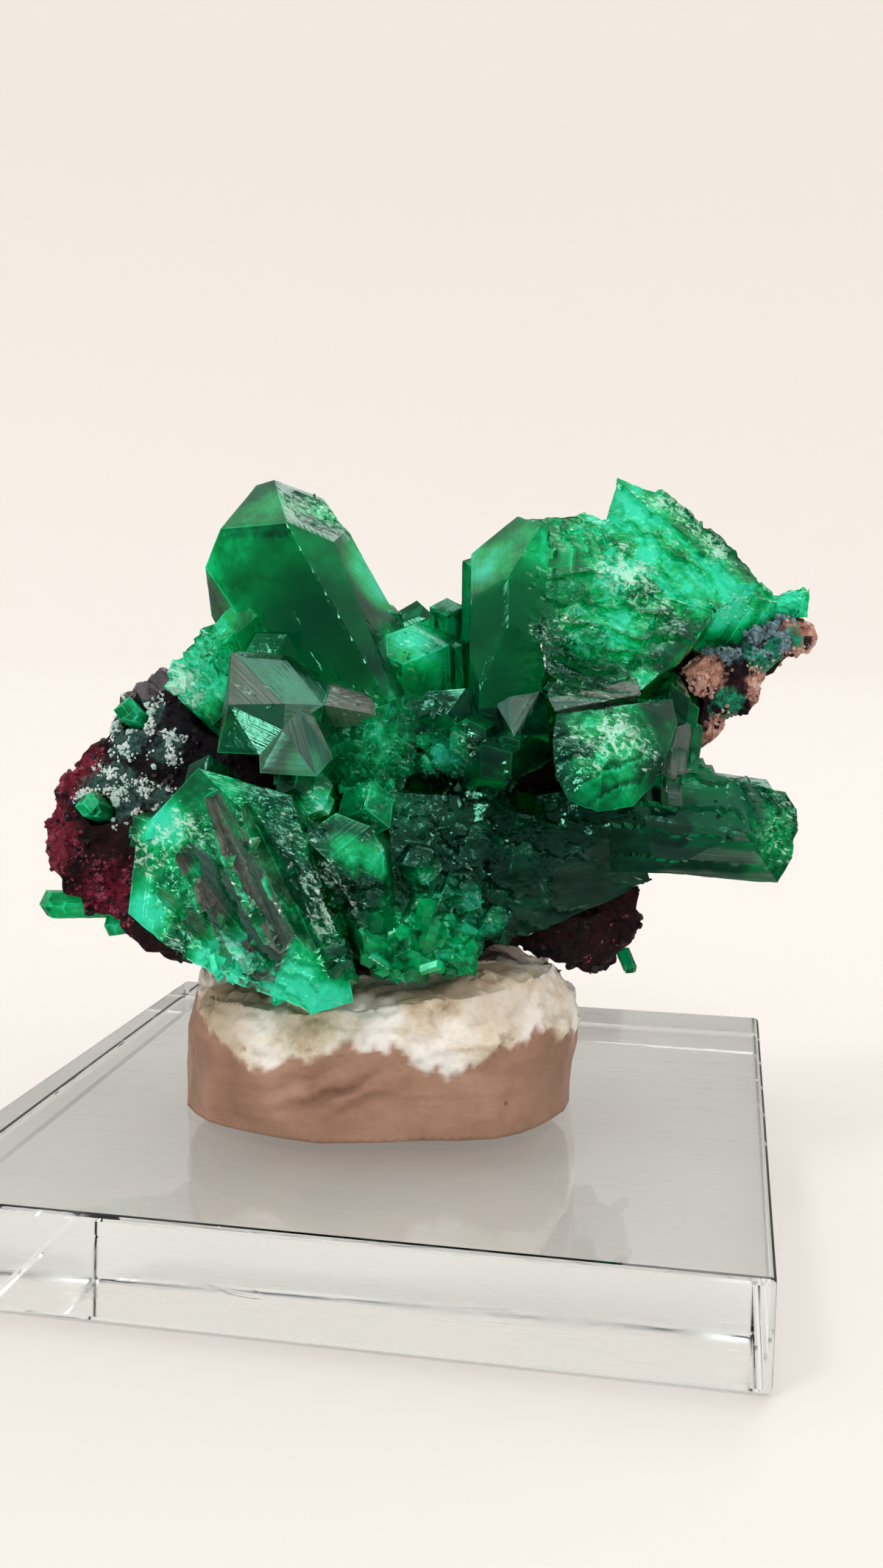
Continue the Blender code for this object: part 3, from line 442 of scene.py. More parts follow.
@dataclass(frozen=True)
class TackFinish:
    """Mineral tack, a beige putty: matt and slightly waxy, browner where it was smoothed, with painted shade on that
    upright foot, and pale where it was torn, partly painted light on its top.
    """

    name: str = "mineral tack"

    def make(self) -> bpy.types.Material:
        """Builds the material."""
        sheet = Sheet(self.name)
        add, place = sheet.add, sheet.place
        broad = add("ShaderNodeTexNoise", {"Scale": 0.22, "Detail": 4.0}, {"Vector": place})
        fine = add("ShaderNodeTexNoise", {"Scale": 2.6, "Detail": 6.0, "Roughness": 0.7}, {"Vector": place})
        pulled = add("ShaderNodeMapping", {"Scale": (0.35, 0.35, 1.6)}, {"Vector": place})
        drawn = add("ShaderNodeTexNoise", {"Scale": 1.0, "Detail": 5.0, "Distortion": 0.6}, {"Vector": pulled})
        torn = add("ShaderNodeAttribute", {"attribute_name": Layer.TORN.value}, out="Fac")
        mixture = add("ShaderNodeMix", {0: 0.22}, {2: broad, 3: fine})
        # Painted shade: the smoothed, upright foot is painted darker pinkish-brown.
        smooth = add(
            "ShaderNodeValToRGB", {"stops": ((0.3, "#96705C"), (0.5, "#AE866F"), (0.7, "#C29C84"))}, {"Fac": mixture}
        )
        # Painted light: the torn top is painted near white, partly its own paler skin.
        pale = add(
            "ShaderNodeValToRGB", {"stops": ((0.36, "#C8B294"), (0.46, "#E8DCC8"), (0.56, "#FDFAF4"))}, {"Fac": mixture}
        )
        tan = add("ShaderNodeAttribute", {"attribute_name": Layer.STAIN.value}, out="Fac")
        pale = add("ShaderNodeMix", {"data_type": "RGBA", 7: "#BEA688"}, {0: tan, 6: pale}, out=2)
        colour = add("ShaderNodeMix", {"data_type": "RGBA"}, {0: torn, 6: smooth, 7: pale}, out=2)
        dust = add("ShaderNodeTexVoronoi", {"Scale": 0.32}, {"Vector": place}, out="Distance")
        dust = add("ShaderNodeMapRange", {"From Min": 0.03, "From Max": 0.08, "To Min": 0.8, "To Max": 0.0}, {"Value": dust})
        colour = add("ShaderNodeMix", {"data_type": "RGBA", 7: "#2E3A2C"}, {0: dust, 6: colour}, out=2)
        rough = add(
            "ShaderNodeMapRange", {"From Min": 0.3, "From Max": 0.7, "To Min": 0.34, "To Max": 0.6}, {"Value": fine}
        )
        height = add("ShaderNodeMath", {"operation": "MULTIPLY_ADD", 1: 0.35}, {0: fine, 2: drawn})
        bump = add("ShaderNodeBump", {"Strength": 0.4, "Distance": 0.0002}, {"Height": height})
        sheet.shade(
            {"Subsurface Weight": 0.15, "Subsurface Scale": 0.0012, "Subsurface Radius": (1.0, 0.6, 0.4)},
            {"Base Color": colour, "Roughness": rough, "Normal": bump},
        )
        return sheet.material


@dataclass(frozen=True)
class AcrylicFinish:
    """Cast acrylic with flame-polished edges: water clear, with a few hairline scratches."""

    name: str = "cast acrylic"
    ior: float = 1.49

    def make(self) -> bpy.types.Material:
        """Builds the material."""
        sheet = Sheet(self.name)
        add, place = sheet.add, sheet.place
        drawn = add("ShaderNodeMapping", {"Scale": (0.12, 2.6, 1.0)}, {"Vector": place})
        scratch = add("ShaderNodeTexNoise", {"Scale": 1.0, "Detail": 2.0, "Distortion": 0.4}, {"Vector": drawn})
        scratch = add("ShaderNodeMapRange", {"From Min": 0.62, "From Max": 0.66}, {"Value": scratch})
        smear = add("ShaderNodeTexNoise", {"Scale": 0.16, "Detail": 5.0}, {"Vector": place})
        rough = add(
            "ShaderNodeMapRange", {"From Min": 0.45, "From Max": 0.75, "To Min": 0.015, "To Max": 0.09}, {"Value": smear}
        )
        bump = add("ShaderNodeBump", {"Strength": 0.06, "Distance": 0.00002}, {"Height": scratch})
        colour = add("ShaderNodeMix", {"data_type": "RGBA", 6: "#FFFFFF", 7: "#F7FBFB"}, {0: smear}, out=2)
        sheet.shade(
            {"Transmission Weight": 1.0, "IOR": self.ior}, {"Base Color": colour, "Roughness": rough, "Normal": bump}
        )
        sheet.soak((0.93, 0.98, 0.97, 1.0), 12.0)
        return sheet.material


def piece_of(mesh: bpy.types.Mesh, name: str, material: bpy.types.Material, slot: str, node: str | None = None) -> Any:
    """Makes a piece of the object from a finished mesh.

    Args:
        mesh: the mesh, in the row frame in metres.
        name: the piece's name.
        material: its finish.
        slot: the record's material slot; not used.
        node: the CAD node that it stands for, if any.

    Returns:
        The piece.
    """
    mesh.materials.clear()
    mesh.materials.append(material)
    made = bpy.data.objects.new(name, mesh)
    bpy.context.scene.collection.objects.link(made)
    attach(made, BODY)
    if node:
        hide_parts(node)
    log.info("%s: %d faces", name, len(mesh.polygons))
    return made


def mesh_from(bm: bmesh.types.BMesh, name: str) -> bpy.types.Mesh:
    """Returns a mesh with the bmesh's shape, and frees the bmesh."""
    mesh = bpy.data.meshes.new(name)
    bm.to_mesh(mesh)
    bm.free()
    return mesh


def node_copy(node: str) -> bmesh.types.BMesh:
    """Returns a CAD node's mesh with its loose triangles joined."""
    bm = bmesh.new()
    bm.from_mesh(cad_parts[node].data)
    bmesh.ops.remove_doubles(bm, verts=bm.verts, dist=1e-6)
    bm.normal_update()
    return bm


def strength(zones: Iterable[Zone], place: Vector) -> float:
    """Returns how strongly a place is inside the zones.

    Args:
        zones: the zones.
        place: a point in the specimen's millimetres.

    Returns:
        The largest of the zones' values there.
    """
    best = 0.0
    for zone in zones:
        away = (place - Vector(zone.centre)).length / zone.reach
        if away < 1.0:
            best = max(best, zone.amount * (1.0 - away * away) ** 0.7)
    return best


def paint(bm: bmesh.types.BMesh, coats: dict[Layer, Sequence[Zone]]) -> None:
    """Writes each layer's values on the points of a mesh."""
    for layer, zones in coats.items():
        values = bm.verts.layers.float.new(layer.value)
        for vert in bm.verts:
            vert[values] = strength(zones, TO_SPECIMEN @ vert.co)


def facets_of(bm: bmesh.types.BMesh, tolerance: float) -> list[list[bmesh.types.BMFace]]:
    """Groups triangles that lie in one flat facet.

    Args:
        bm: the mesh.
        tolerance: the largest turn between neighbours in one facet, in radians.

    Returns:
        Lists of faces.
    """
    left = set(bm.faces)
    found = []
    for seed in list(bm.faces):
        if seed not in left:
            continue
        left.discard(seed)
        group, waiting = [seed], [seed]
        while waiting:
            for edge in waiting.pop().edges:
                for other in edge.link_faces:
                    if other in left and other.normal.angle(seed.normal, 9.0) < tolerance:
                        left.discard(other)
                        group.append(other)
                        waiting.append(other)
        found.append(group)
    return found


def mark_facets(bm: bmesh.types.BMesh, seed: int) -> None:
    """Gives each facet a tone, a dullness, and a UV map in millimetres that runs along the facet's longest edge.

    Args:
        bm: the mesh.
        seed: the seed of the tones.
    """
    rng = random.Random(seed)
    uv = bm.loops.layers.uv.new("facet")
    tone = bm.faces.layers.float.new(Layer.TONE.value)
    dull = bm.faces.layers.float.new(Layer.DULL.value)
    for group in facets_of(bm, math.radians(1.0)):
        inside = set(group)
        rim = [edge for face in group for edge in face.edges if any(f not in inside for f in edge.link_faces)]
        longest = max(rim or group[0].edges, key=lambda edge: edge.calc_length())
        along = (longest.verts[1].co - longest.verts[0].co).normalized()
        across = group[0].normal.cross(along)
        shift, value = rng.uniform(0, 200), rng.random()
        area = sum(face.calc_area() for face in group)
        middle = sum((face.calc_center_median() * face.calc_area() for face in group), Vector()) / max(area, 1e-12)
        # The dullness carries a painted grey sheen as well as frosting.
        matt = min(1.0, 1.6 * strength(MATT_AND_SHEEN, TO_SPECIMEN @ middle))
        for face in group:
            face[tone] = value
            face[dull] = matt
            for loop in face.loops:
                place = loop.vert.co / MM
                loop[uv].uv = (place.dot(across) + shift, place.dot(along) + shift)


def split_once(bm: bmesh.types.BMesh, edges: list[bmesh.types.BMEdge]) -> None:
    """Halves these edges and keeps every face a triangle."""
    bmesh.ops.subdivide_edges(bm, edges=edges, cuts=1)
    bmesh.ops.triangulate(bm, faces=[face for face in bm.faces if len(face.verts) > 3])


def refine(bm: bmesh.types.BMesh, longest: float, rounds: int = 6) -> None:
    """Splits long edges until none is much over a length in metres."""
    for _ in range(rounds):
        long_edges = [edge for edge in bm.edges if edge.calc_length() > longest]
        if not long_edges:
            return
        split_once(bm, long_edges)


def chipped(place: Vector, cell: float, depth: float) -> float:
    """Returns how far a broken surface lies below the whole one: each cell is a flat, tilted chip.

    Args:
        place: a point, in millimetres.
        cell: the chips' size, in millimetres.
        depth: the deepest chip, in millimetres.
    """
    _, points = noise.voronoi(place / cell)
    centre = points[0]
    tilt = noise.noise_vector(centre * 7.3)
    lean = (place / cell - centre).dot(tilt)
    return depth * min(1.0, max(0.0, 0.5 + 1.1 * lean + 0.35 * noise.noise(centre * 3.1)))


def sharpness(vert: bmesh.types.BMVert) -> float:
    """Returns the widest turn between the faces round a point and its own normal, in radians."""
    return max((face.normal.angle(vert.normal, 0.0) for face in vert.link_faces), default=0.0)


# Milky and thin places on the crystals, where they glow turquoise: partly the crystal's own milky cracks, partly
# painted light where light shines through thin parts.
GLOWING = (
    Zone((5.7, -1.4, 36.9), 2.6, 0.8),
    Zone((-15.0, -8.6, 16.0), 3.0, 0.5),
    Zone((-5.0, -12.8, 7.6), 3.6, 0.5),
    Zone((-2.6, 0.4, 36.0), 3.4, 1.0),
    Zone((-9.0, -1.4, 40.5), 2.6, 0.35),
    Zone((-11.6, -1.4, 38.0), 3.0, 0.3),
    Zone((-13.6, -0.5, 36.5), 2.0, 0.5),
    Zone((-5.8, 1.7, 40.7), 2.2, 0.5),
    Zone((-12.4, -1.0, 33.4), 2.4, 0.45),
    Zone((-14.9, -1.3, 30.1), 4.8, 1.0),
    Zone((-5.9, -9.8, 23.9), 1.5, 0.9),
    Zone((0.5, -2.6, 31.8), 3.8, 0.62),
    Zone((-1.3, -4.4, 25.6), 4.6, 0.4),
    Zone((2.6, -5.2, 24.7), 2.2, 0.6),
    Zone((-2.0, -6.0, 22.6), 4.2, 0.4),
    Zone((9.8, -1.5, 38.4), 3.4, 0.6),
    Zone((2.3, -5.2, 24.5), 1.3, 1.0),
    Zone((4.6, 0.5, 37.4), 1.3, 0.8),
    Zone((11.3, 0.3, 38.7), 4.4, 0.5),
    Zone((16.6, 2.8, 41.0), 6.0, 0.75),
    Zone((14.3, -0.4, 36.6), 2.6, 1.0),
    Zone((16.2, 0.3, 37.6), 1.8, 1.0),
    Zone((19.3, 0.3, 35.6), 3.2, 0.85),
    Zone((22.8, 2.5, 34.5), 2.8, 0.9),
    Zone((14.0, -2.6, 34.2), 4.8, 0.7),
    Zone((20.5, 1.6, 37.6), 4.6, 0.6),
    Zone((16.0, -4.9, 29.3), 1.6, 0.9),
    Zone((26.5, 5.0, 35.0), 3.6, 0.85),
    Zone((13.6, -9.4, 26.5), 3.4, 0.6),
    Zone((13.1, -10.7, 23.4), 3.4, 0.6),
    Zone((25.9, -1.4, 18.6), 3.0, 0.35),
    Zone((-15.4, -7.1, 19.8), 2.4, 1.0),
    Zone((-16.5, -8.1, 14.2), 2.6, 0.8),
    Zone((-11.0, -11.2, 11.7), 3.2, 1.0),
    Zone((-6.7, -12.5, 10.6), 3.2, 1.0),
    Zone((-4.4, -12.6, 9.4), 2.8, 0.9),
    Zone((-12.0, -8.5, 20.5), 3.6, 0.5),
    Zone((-14.4, -8.8, 16.6), 4.0, 0.45),
    Zone((-10.0, -10.6, 15.0), 4.0, 0.25),
    Zone((-4.8, -8.7, 21.2), 1.8, 0.8),
    Zone((-1.2, -10.4, 18.4), 1.6, 0.8),
    Zone((-3.2, -11.5, 18.9), 1.7, 0.6),
    Zone((-1.2, -12.0, 12.2), 2.8, 0.5),
    Zone((2.2, -8.9, 16.6), 1.9, 0.9),
    Zone((5.1, -8.5, 14.6), 2.2, 1.0),
    Zone((1.4, -11.2, 14.2), 2.2, 0.6),
    Zone((3.7, -10.2, 12.6), 2.6, 0.6),
    Zone((1.0, -11.1, 12.4), 4.4, 0.55),
    Zone((-23.0, 4.0, 12.0), 6.0, 0.6),
    Zone((-19.0, 2.0, 26.5), 2.2, 0.5),
    Zone((-22.0, 0.5, 20.0), 2.4, 0.5),
)
# Thick and shaded places, where the green soaks up nearly all light: painted shade.
DEEP_SHADE = (
    Zone((-5.8, -3.8, 32.7), 4.8, 1.0),
    Zone((-4.8, -3.7, 35.2), 3.2, 0.6),
    Zone((-3.2, -4.6, 30.6), 3.0, 0.95),
    Zone((-8.2, -3.6, 33.4), 2.8, 0.6),
    Zone((-10.5, -8.3, 26.2), 2.8, 0.35),
    Zone((1.6, -3.5, 27.5), 2.8, 0.6),
    Zone((-4.8, -4.0, 26.5), 2.6, 0.5),
    Zone((5.4, -8.0, 23.6), 2.6, 0.55),
    Zone((5.1, -3.4, 32.4), 4.4, 0.8),
    Zone((7.2, -4.0, 33.0), 3.2, 0.75),
    Zone((6.4, -3.6, 28.6), 3.8, 0.95),
    Zone((11.5, -5.4, 30.4), 3.4, 0.4),
    Zone((22.4, -1.5, 21.6), 3.6, 0.7),
    Zone((19.6, -2.8, 18.8), 5.6, 1.0),
    Zone((6.5, -5.7, 19.5), 8.6, 0.85),
    Zone((12.0, -4.5, 16.5), 7.0, 1.0),
    Zone((-11.5, -10.0, 16.0), 3.0, 0.2),
    Zone((-8.2, -11.8, 13.6), 2.4, 0.5),
    Zone((-2.3, -12.3, 16.2), 1.9, 0.85),
)
# Broken ridges and bruised tops, white with sugar and with painted glints.
SUGARY = (
    Zone((0.5, -2.6, 31.8), 3.0, 0.3),
    Zone((-5.8, 1.7, 40.7), 1.8, 0.5),
    Zone((-15.5, -1.1, 28.3), 2.6, 1.2),
    Zone((-14.9, -1.3, 30.6), 3.0, 0.4),
    Zone((-9.9, -7.4, 28.3), 2.4, 0.22),
    Zone((-3.3, -5.6, 28.0), 1.9, 0.35),
    Zone((-0.3, -4.8, 24.1), 4.2, 0.2),
    Zone((4.5, -6.4, 25.3), 1.6, 0.7),
    Zone((8.8, -2.4, 36.0), 2.6, 0.25),
    Zone((18.5, 3.9, 41.6), 1.8, 1.2),
    Zone((20.2, 4.4, 40.4), 1.8, 1.2),
    Zone((15.0, 0.7, 38.4), 1.5, 0.7),
    Zone((18.0, 1.5, 39.2), 1.4, 0.45),
    Zone((21.8, 3.7, 38.7), 1.8, 1.1),
    Zone((14.3, -0.4, 36.6), 1.9, 1.3),
    Zone((15.7, -0.5, 36.2), 1.9, 1.3),
    Zone((16.6, -1.2, 35.2), 2.2, 0.75),
    Zone((12.0, -2.0, 35.0), 2.6, 0.3),
    Zone((22.8, 2.5, 34.5), 2.2, 0.5),
    Zone((11.0, -3.3, 33.1), 1.8, 0.65),
    Zone((9.0, -3.6, 32.6), 0.9, 1.0),
    Zone((13.4, -4.4, 32.5), 1.1, 0.7),
    Zone((18.1, -2.0, 33.2), 1.7, 0.75),
    Zone((16.0, -4.9, 29.3), 1.6, 0.6),
    Zone((12.0, -8.0, 28.5), 3.4, 0.3),
    Zone((11.8, -9.6, 26.2), 2.0, 0.8),
    Zone((13.6, -9.4, 26.3), 2.2, 1.2),
    Zone((15.1, -8.9, 25.7), 2.0, 0.85),
    Zone((12.0, -10.9, 24.3), 1.2, 0.6),
    Zone((22.0, -1.6, 21.4), 3.0, 0.22),
    Zone((26.2, -1.2, 18.8), 2.6, 0.55),
    Zone((0.7, -6.2, 20.6), 4.6, 0.24),
    Zone((-16.4, -7.2, 18.4), 2.2, 1.3),
    Zone((-13.8, -7.8, 19.6), 2.0, 0.9),
    Zone((-11.0, -11.2, 11.7), 3.0, 0.35),
    Zone((-14.6, -9.2, 12.9), 1.8, 0.55),
    Zone((-6.7, -10.6, 20.0), 2.2, 0.5),
    Zone((-4.9, -12.6, 17.2), 1.9, 1.0),
    Zone((-4.5, -12.8, 14.9), 1.9, 1.0),
    Zone((-3.6, -12.9, 13.0), 1.4, 0.6),
    Zone((-4.8, -8.7, 21.2), 1.8, 0.85),
    Zone((-1.4, -10.2, 19.2), 1.6, 0.55),
    Zone((2.2, -8.9, 16.6), 1.6, 0.35),
    Zone((5.1, -8.5, 14.6), 1.8, 0.4),
    Zone((-4.0, -12.6, 9.6), 1.6, 0.4),
)
# Faces that lie dull and grey-green, ruled by growth lines; their grey is partly frosting and partly a painted grey
# sheen.
MATT_AND_SHEEN = (
    Zone((-9.8, -7.0, 28.8), 1.5, 0.6),
    Zone((-3.3, -5.6, 28.0), 2.0, 0.7),
    Zone((-6.7, -9.3, 26.0), 2.6, 0.7),
    Zone((7.4, -4.6, 27.5), 1.3, 0.8),
    Zone((7.8, -6.8, 24.0), 1.2, 0.7),
    Zone((10.4, -8.2, 28.2), 1.9, 0.8),
    Zone((13.6, -7.6, 28.9), 2.2, 0.8),
    Zone((5.7, -1.4, 36.9), 2.1, 0.2),
    Zone((18.6, -2.3, 23.0), 2.6, 0.9),
    Zone((10.6, -4.6, 14.4), 2.6, 0.25),
    Zone((24.0, -1.3, 21.3), 2.4, 0.3),
    Zone((20.4, -2.4, 15.9), 3.4, 0.6),
    Zone((16.8, -3.0, 16.2), 1.9, 0.6),
    Zone((-10.4, -10.2, 15.6), 3.6, 0.75),
    Zone((-8.2, -11.6, 13.4), 2.8, 0.9),
    Zone((-10.8, -9.4, 18.4), 2.6, 0.7),
    Zone((-9.0, -1.4, 41.0), 1.7, 0.35),
    Zone((-2.2, -0.2, 35.6), 2.2, 0.22),
)
CRYSTAL_COATS = {Layer.GLOW: GLOWING, Layer.CORE: DEEP_SHADE, Layer.SPARK: SUGARY}

# Broken and pitted places on the crystals.
BROKEN = (
    Zone((-10.0, -10.5, 16.5), 7.5, 0.55),
    Zone((-3.6, -12.6, 16.0), 3.4, 0.9),
    Zone((-9.0, -11.5, 10.0), 5.0, 0.7),
    Zone((-5.8, 0.0, 40.8), 2.6, 0.7),
    Zone((16.5, 1.0, 36.5), 6.0, 0.75),
    Zone((12.5, -4.5, 31.0), 5.5, 0.7),
    Zone((21.0, 3.0, 38.0), 5.0, 0.6),
    Zone((17.6, 3.0, 41.0), 4.0, 0.4),
    Zone((11.5, 3.0, 39.5), 4.0, 0.6),
    Zone((26.5, 4.5, 35.0), 4.0, 0.8),
    Zone((13.0, -9.5, 26.0), 4.4, 0.4),
    Zone((26.6, -0.4, 18.6), 3.8, 0.9),
    Zone((18.0, 1.0, 15.6), 4.0, 0.6),
    Zone((3.0, -8.0, 14.5), 6.0, 0.65),
    Zone((-14.5, 0.0, 29.5), 4.6, 0.8),
    Zone((8.0, -4.5, 17.5), 7.0, 0.3),
    Zone((0.0, -4.0, 24.0), 5.5, 0.6),
)
# Growth and fracture steps.
STEPS = (
    Ledges((18.0, 2.5, 39.0), 7.0, (0.62, 0.0, 0.78), 1.7, 0.4),
    Ledges((14.5, -2.0, 34.0), 6.4, (0.1, 0.0, 1.0), 1.7, 0.5),
    Ledges((10.4, 0.0, 38.0), 4.0, (1.0, 0.0, 0.15), 1.2, 0.2),
    Ledges((12.0, -5.5, 30.4), 3.6, (0.2, 0.0, 1.0), 1.0, 0.35),
    Ledges((13.0, -10.0, 25.0), 4.6, (-0.45, 0.0, 0.9), 1.6, 0.25),
    Ledges((-10.4, -10.4, 15.4), 6.6, (1.0, 0.0, 0.0), 8.5, 0.55, 0.22, apex=(-15.6, -8.0, 25.5)),
    Ledges((-8.6, -11.8, 10.8), 4.6, (0.5, 0.0, 1.0), 1.3, 0.5),
    Ledges((-1.6, -12.0, 14.0), 4.4, (0.4, 0.0, 0.9), 1.2, 0.4),
    Ledges((19.6, -2.6, 18.8), 7.0, (0.1, 0.0, 1.0), 1.9, 0.4, 0.18),
    Ledges((24.4, -1.2, 21.4), 3.6, (1.0, 0.0, 0.4), 1.7, 0.4, 0.2),
    Ledges((7.0, -5.0, 18.0), 8.0, (0.3, 0.0, 1.0), 2.6, 0.3, 0.6),
    Ledges((-15.0, -1.0, 30.0), 4.4, (0.7, 0.0, 0.7), 0.9, 0.4),
    Ledges((3.0, -9.6, 14.0), 4.4, (0.3, 0.0, 1.0), 1.2, 0.4, 0.8),
)


@dataclass
class DioptaseCrystals:
    """The crystals: the CAD solids' facets, split fine and given chips, ledges, edge wear and growth lines."""

    finish: DioptaseFinish
    longest_mm: float = 0.75
    rough_from: float = 0.3
    chip_mm: float = 1.15
    chip_depth_mm: float = 0.5
    edge_wear_mm: float = 0.06
    nodes: tuple[str, ...] = (
        "dioptase_cluster", "underside_crystals", "upper_ledge_crystals", "lower_ledge_crystals", "foot_crystal",
    )

    def build(self) -> None:
        """Builds a piece in place of each crystal node."""
        material = self.finish.make()
        for seed, node in enumerate(self.nodes):
            bm = node_copy(node)
            mark_facets(bm, seed)
            refine(bm, self.longest_mm * MM)
            self.refine_rough(bm)
            self.weather(bm)
            paint(bm, CRYSTAL_COATS)
            piece_of(mesh_from(bm, node), node + "_grown", material, "dioptase", node)

    def refine_rough(self, bm: bmesh.types.BMesh) -> None:
        """Halves the edges once more where chips and ledges need it."""
        half = self.longest_mm * MM / 2
        fine = []
        for edge in bm.edges:
            if edge.calc_length() > half:
                place = TO_SPECIMEN @ edge.verts[0].co
                stepped = any((place - Vector(step.centre)).length < 0.85 * step.reach for step in STEPS)
                if stepped or strength(BROKEN, place) > self.rough_from:
                    fine.append(edge)
        split_once(bm, fine)

    def weather(self, bm: bmesh.types.BMesh) -> None:
        """Sinks chips and ledges into the broken places and wears the edges, never outwards."""
        bm.normal_update()
        edge_highlight = bm.verts.layers.float.new(Layer.EDGE.value)
        rough = bm.verts.layers.float.new(Layer.BROKEN.value)
        stepped = bm.verts.layers.float.new(Layer.STEP.value)
        moves = []
        for vert in bm.verts:
            place = TO_SPECIMEN @ vert.co
            broken = strength(BROKEN, place)
            sharp = sharpness(vert)
            # Sharp places are kept for a painted highlight along the edges.
            vert[edge_highlight] = min(1.0, sharp / math.radians(20))
            vert[rough] = broken
            phase, strong, depth = max(((*step.at(place), step.depth) for step in STEPS), key=lambda found: found[1])
            vert[stepped] = 0.5 + (phase - 0.5) * strong
            sink = depth * phase * strong
            if broken > 0:
                sink += broken * chipped(place, self.chip_mm, self.chip_depth_mm)
                sink += broken * 0.5 * chipped(place, self.chip_mm * 0.4, self.chip_depth_mm * 0.4)
            if sharp > math.radians(12):
                sink += self.edge_wear_mm * (0.7 + 0.5 * noise.noise(place * 0.7))
            moves.append((vert, vert.normal * sink * MM))
        for vert, move in moves:
            vert.co -= move


def small_crystal() -> bmesh.types.BMesh:
    """Returns one small six-sided crystal with a three-faced tip, one unit wide, standing on the origin."""
    bm = bmesh.new()
    bmesh.ops.create_cone(
        bm, cap_ends=True, segments=6, radius1=0.5, radius2=0.5, depth=2.0, matrix=Matrix.Translation((0, 0, 0.4)),
    )
    for face in range(3):
        turn = math.tau * face / 3 + 0.5
        normal = Vector((math.cos(turn), math.sin(turn), 1.1)).normalized()
        cut = bmesh.ops.bisect_plane(
            bm, geom=bm.verts[:] + bm.edges[:] + bm.faces[:], dist=1e-7, plane_co=(0, 0, 1.0), plane_no=normal,
            clear_outer=True,
        )
        rim = [item for item in cut["geom_cut"] if isinstance(item, bmesh.types.BMEdge)]
        bmesh.ops.contextual_create(bm, geom=rim)
    bmesh.ops.triangulate(bm, faces=bm.faces)
    return bm


def small_grain() -> bmesh.types.BMesh:
    """Returns one rounded grain, one unit wide, round the origin."""
    bm = bmesh.new()
    bmesh.ops.create_icosphere(bm, subdivisions=1, radius=0.5)
    return bm


def small_block() -> bmesh.types.BMesh:
    """Returns one blocky grain with cut corners, one unit wide, round the origin."""
    bm = bmesh.new()
    bmesh.ops.create_cube(bm, size=0.8)
    bmesh.ops.bevel(
        bm, geom=bm.verts[:], offset=0.2, segments=1, profile=0.5, affect="VERTICES", material=-1, clamp_overlap=True
    )
    bmesh.ops.triangulate(bm, faces=bm.faces)
    return bm


@dataclass
class Strewn:
    """Many small crystals or grains that stand on a piece, in one mesh."""

    name: str
    template: bmesh.types.BMesh
    on: str
    zones: tuple[Zone, ...]
    count: int
    size_mm: tuple[float, float]
    lean: float
    seed: int
    slot: str
    sunk: float = 0.35
    clump_mm: float = 0.0

    def places(self) -> list[tuple[Matrix, float]]:
        """Picks where each stands, on the carrier's faces, more often where the zones are strong.

        Returns:
            A matrix for each, and its tone.
        """
        rng = random.Random(self.seed)
        carrier = bpy.data.objects[self.on].data
        carrier.calc_loop_triangles()
        found, weights, triangles = [], [], []
        for triangle in carrier.loop_triangles:
            centre = sum((carrier.vertices[i].co for i in triangle.vertices), Vector()) / 3
            place = TO_SPECIMEN @ centre
            weight = strength(self.zones, place) * triangle.area
            if self.clump_mm:
                weight *= max(0.0, noise.noise(place / self.clump_mm) + 0.1)
            if weight > 0:
                weights.append(weight)
                triangles.append(triangle)
        for triangle in rng.choices(triangles, weights, k=self.count):
            first, second, third = (carrier.vertices[i].co for i in triangle.vertices)
            u, v = sorted((rng.random(), rng.random()))
            place = first * u + second * (v - u) + third * (1 - v)
            normal = triangle.normal + Vector((rng.gauss(0, 1), rng.gauss(0, 1), rng.gauss(0, 1))) * self.lean
            turn = normal.normalized().to_track_quat("Z", "Y").to_matrix().to_4x4()
            size = rng.uniform(*self.size_mm) * rng.uniform(0.6, 1.0) * MM
            spin = Matrix.Rotation(rng.uniform(0, math.tau), 4, "Z")
            stretch = Matrix.Diagonal((size, size, size * rng.uniform(0.8, 1.5), 1.0))
            low = Matrix.Translation((0, 0, -self.sunk))
            found.append((Matrix.Translation(place) @ turn @ spin @ stretch @ low, rng.random()))
        return found

    def build(self, material: bpy.types.Material, coats: dict[Layer, Sequence[Zone]] | None = None) -> None:
        """Copies the template to every place, in one mesh with its own painted values for each copy.

        Args:
            material: the finish.
            coats: layers that each copy takes from where it stands.
        """
        points = np.array([vert.co[:] + (1.0,) for vert in self.template.verts])
        faces = np.array([[vert.index for vert in face.verts] for face in self.template.faces])
        self.template.free()
        spots = self.places()
        corners = [(points @ np.array(spot).T)[:, :3] for spot, _ in spots]
        shells = [faces + len(points) * index for index in range(len(spots))]
        mesh = bpy.data.meshes.new(self.name)
        mesh.from_pydata(np.concatenate(corners).tolist(), [], np.concatenate(shells).tolist())
        painted = {Layer.TONE: [tone for _, tone in spots], Layer.STEP: [0.5] * len(spots)}
        for layer, zones in (coats or {}).items():
            painted[layer] = [strength(zones, TO_SPECIMEN @ spot.translation) for spot, _ in spots]
        for layer, values in painted.items():
            kept = mesh.attributes.new(layer.value, "FLOAT", "POINT")
            kept.data.foreach_set("value", np.repeat(values, len(points)))
        mesh.uv_layers.new(name="facet")
        piece_of(mesh, self.name, material, self.slot)


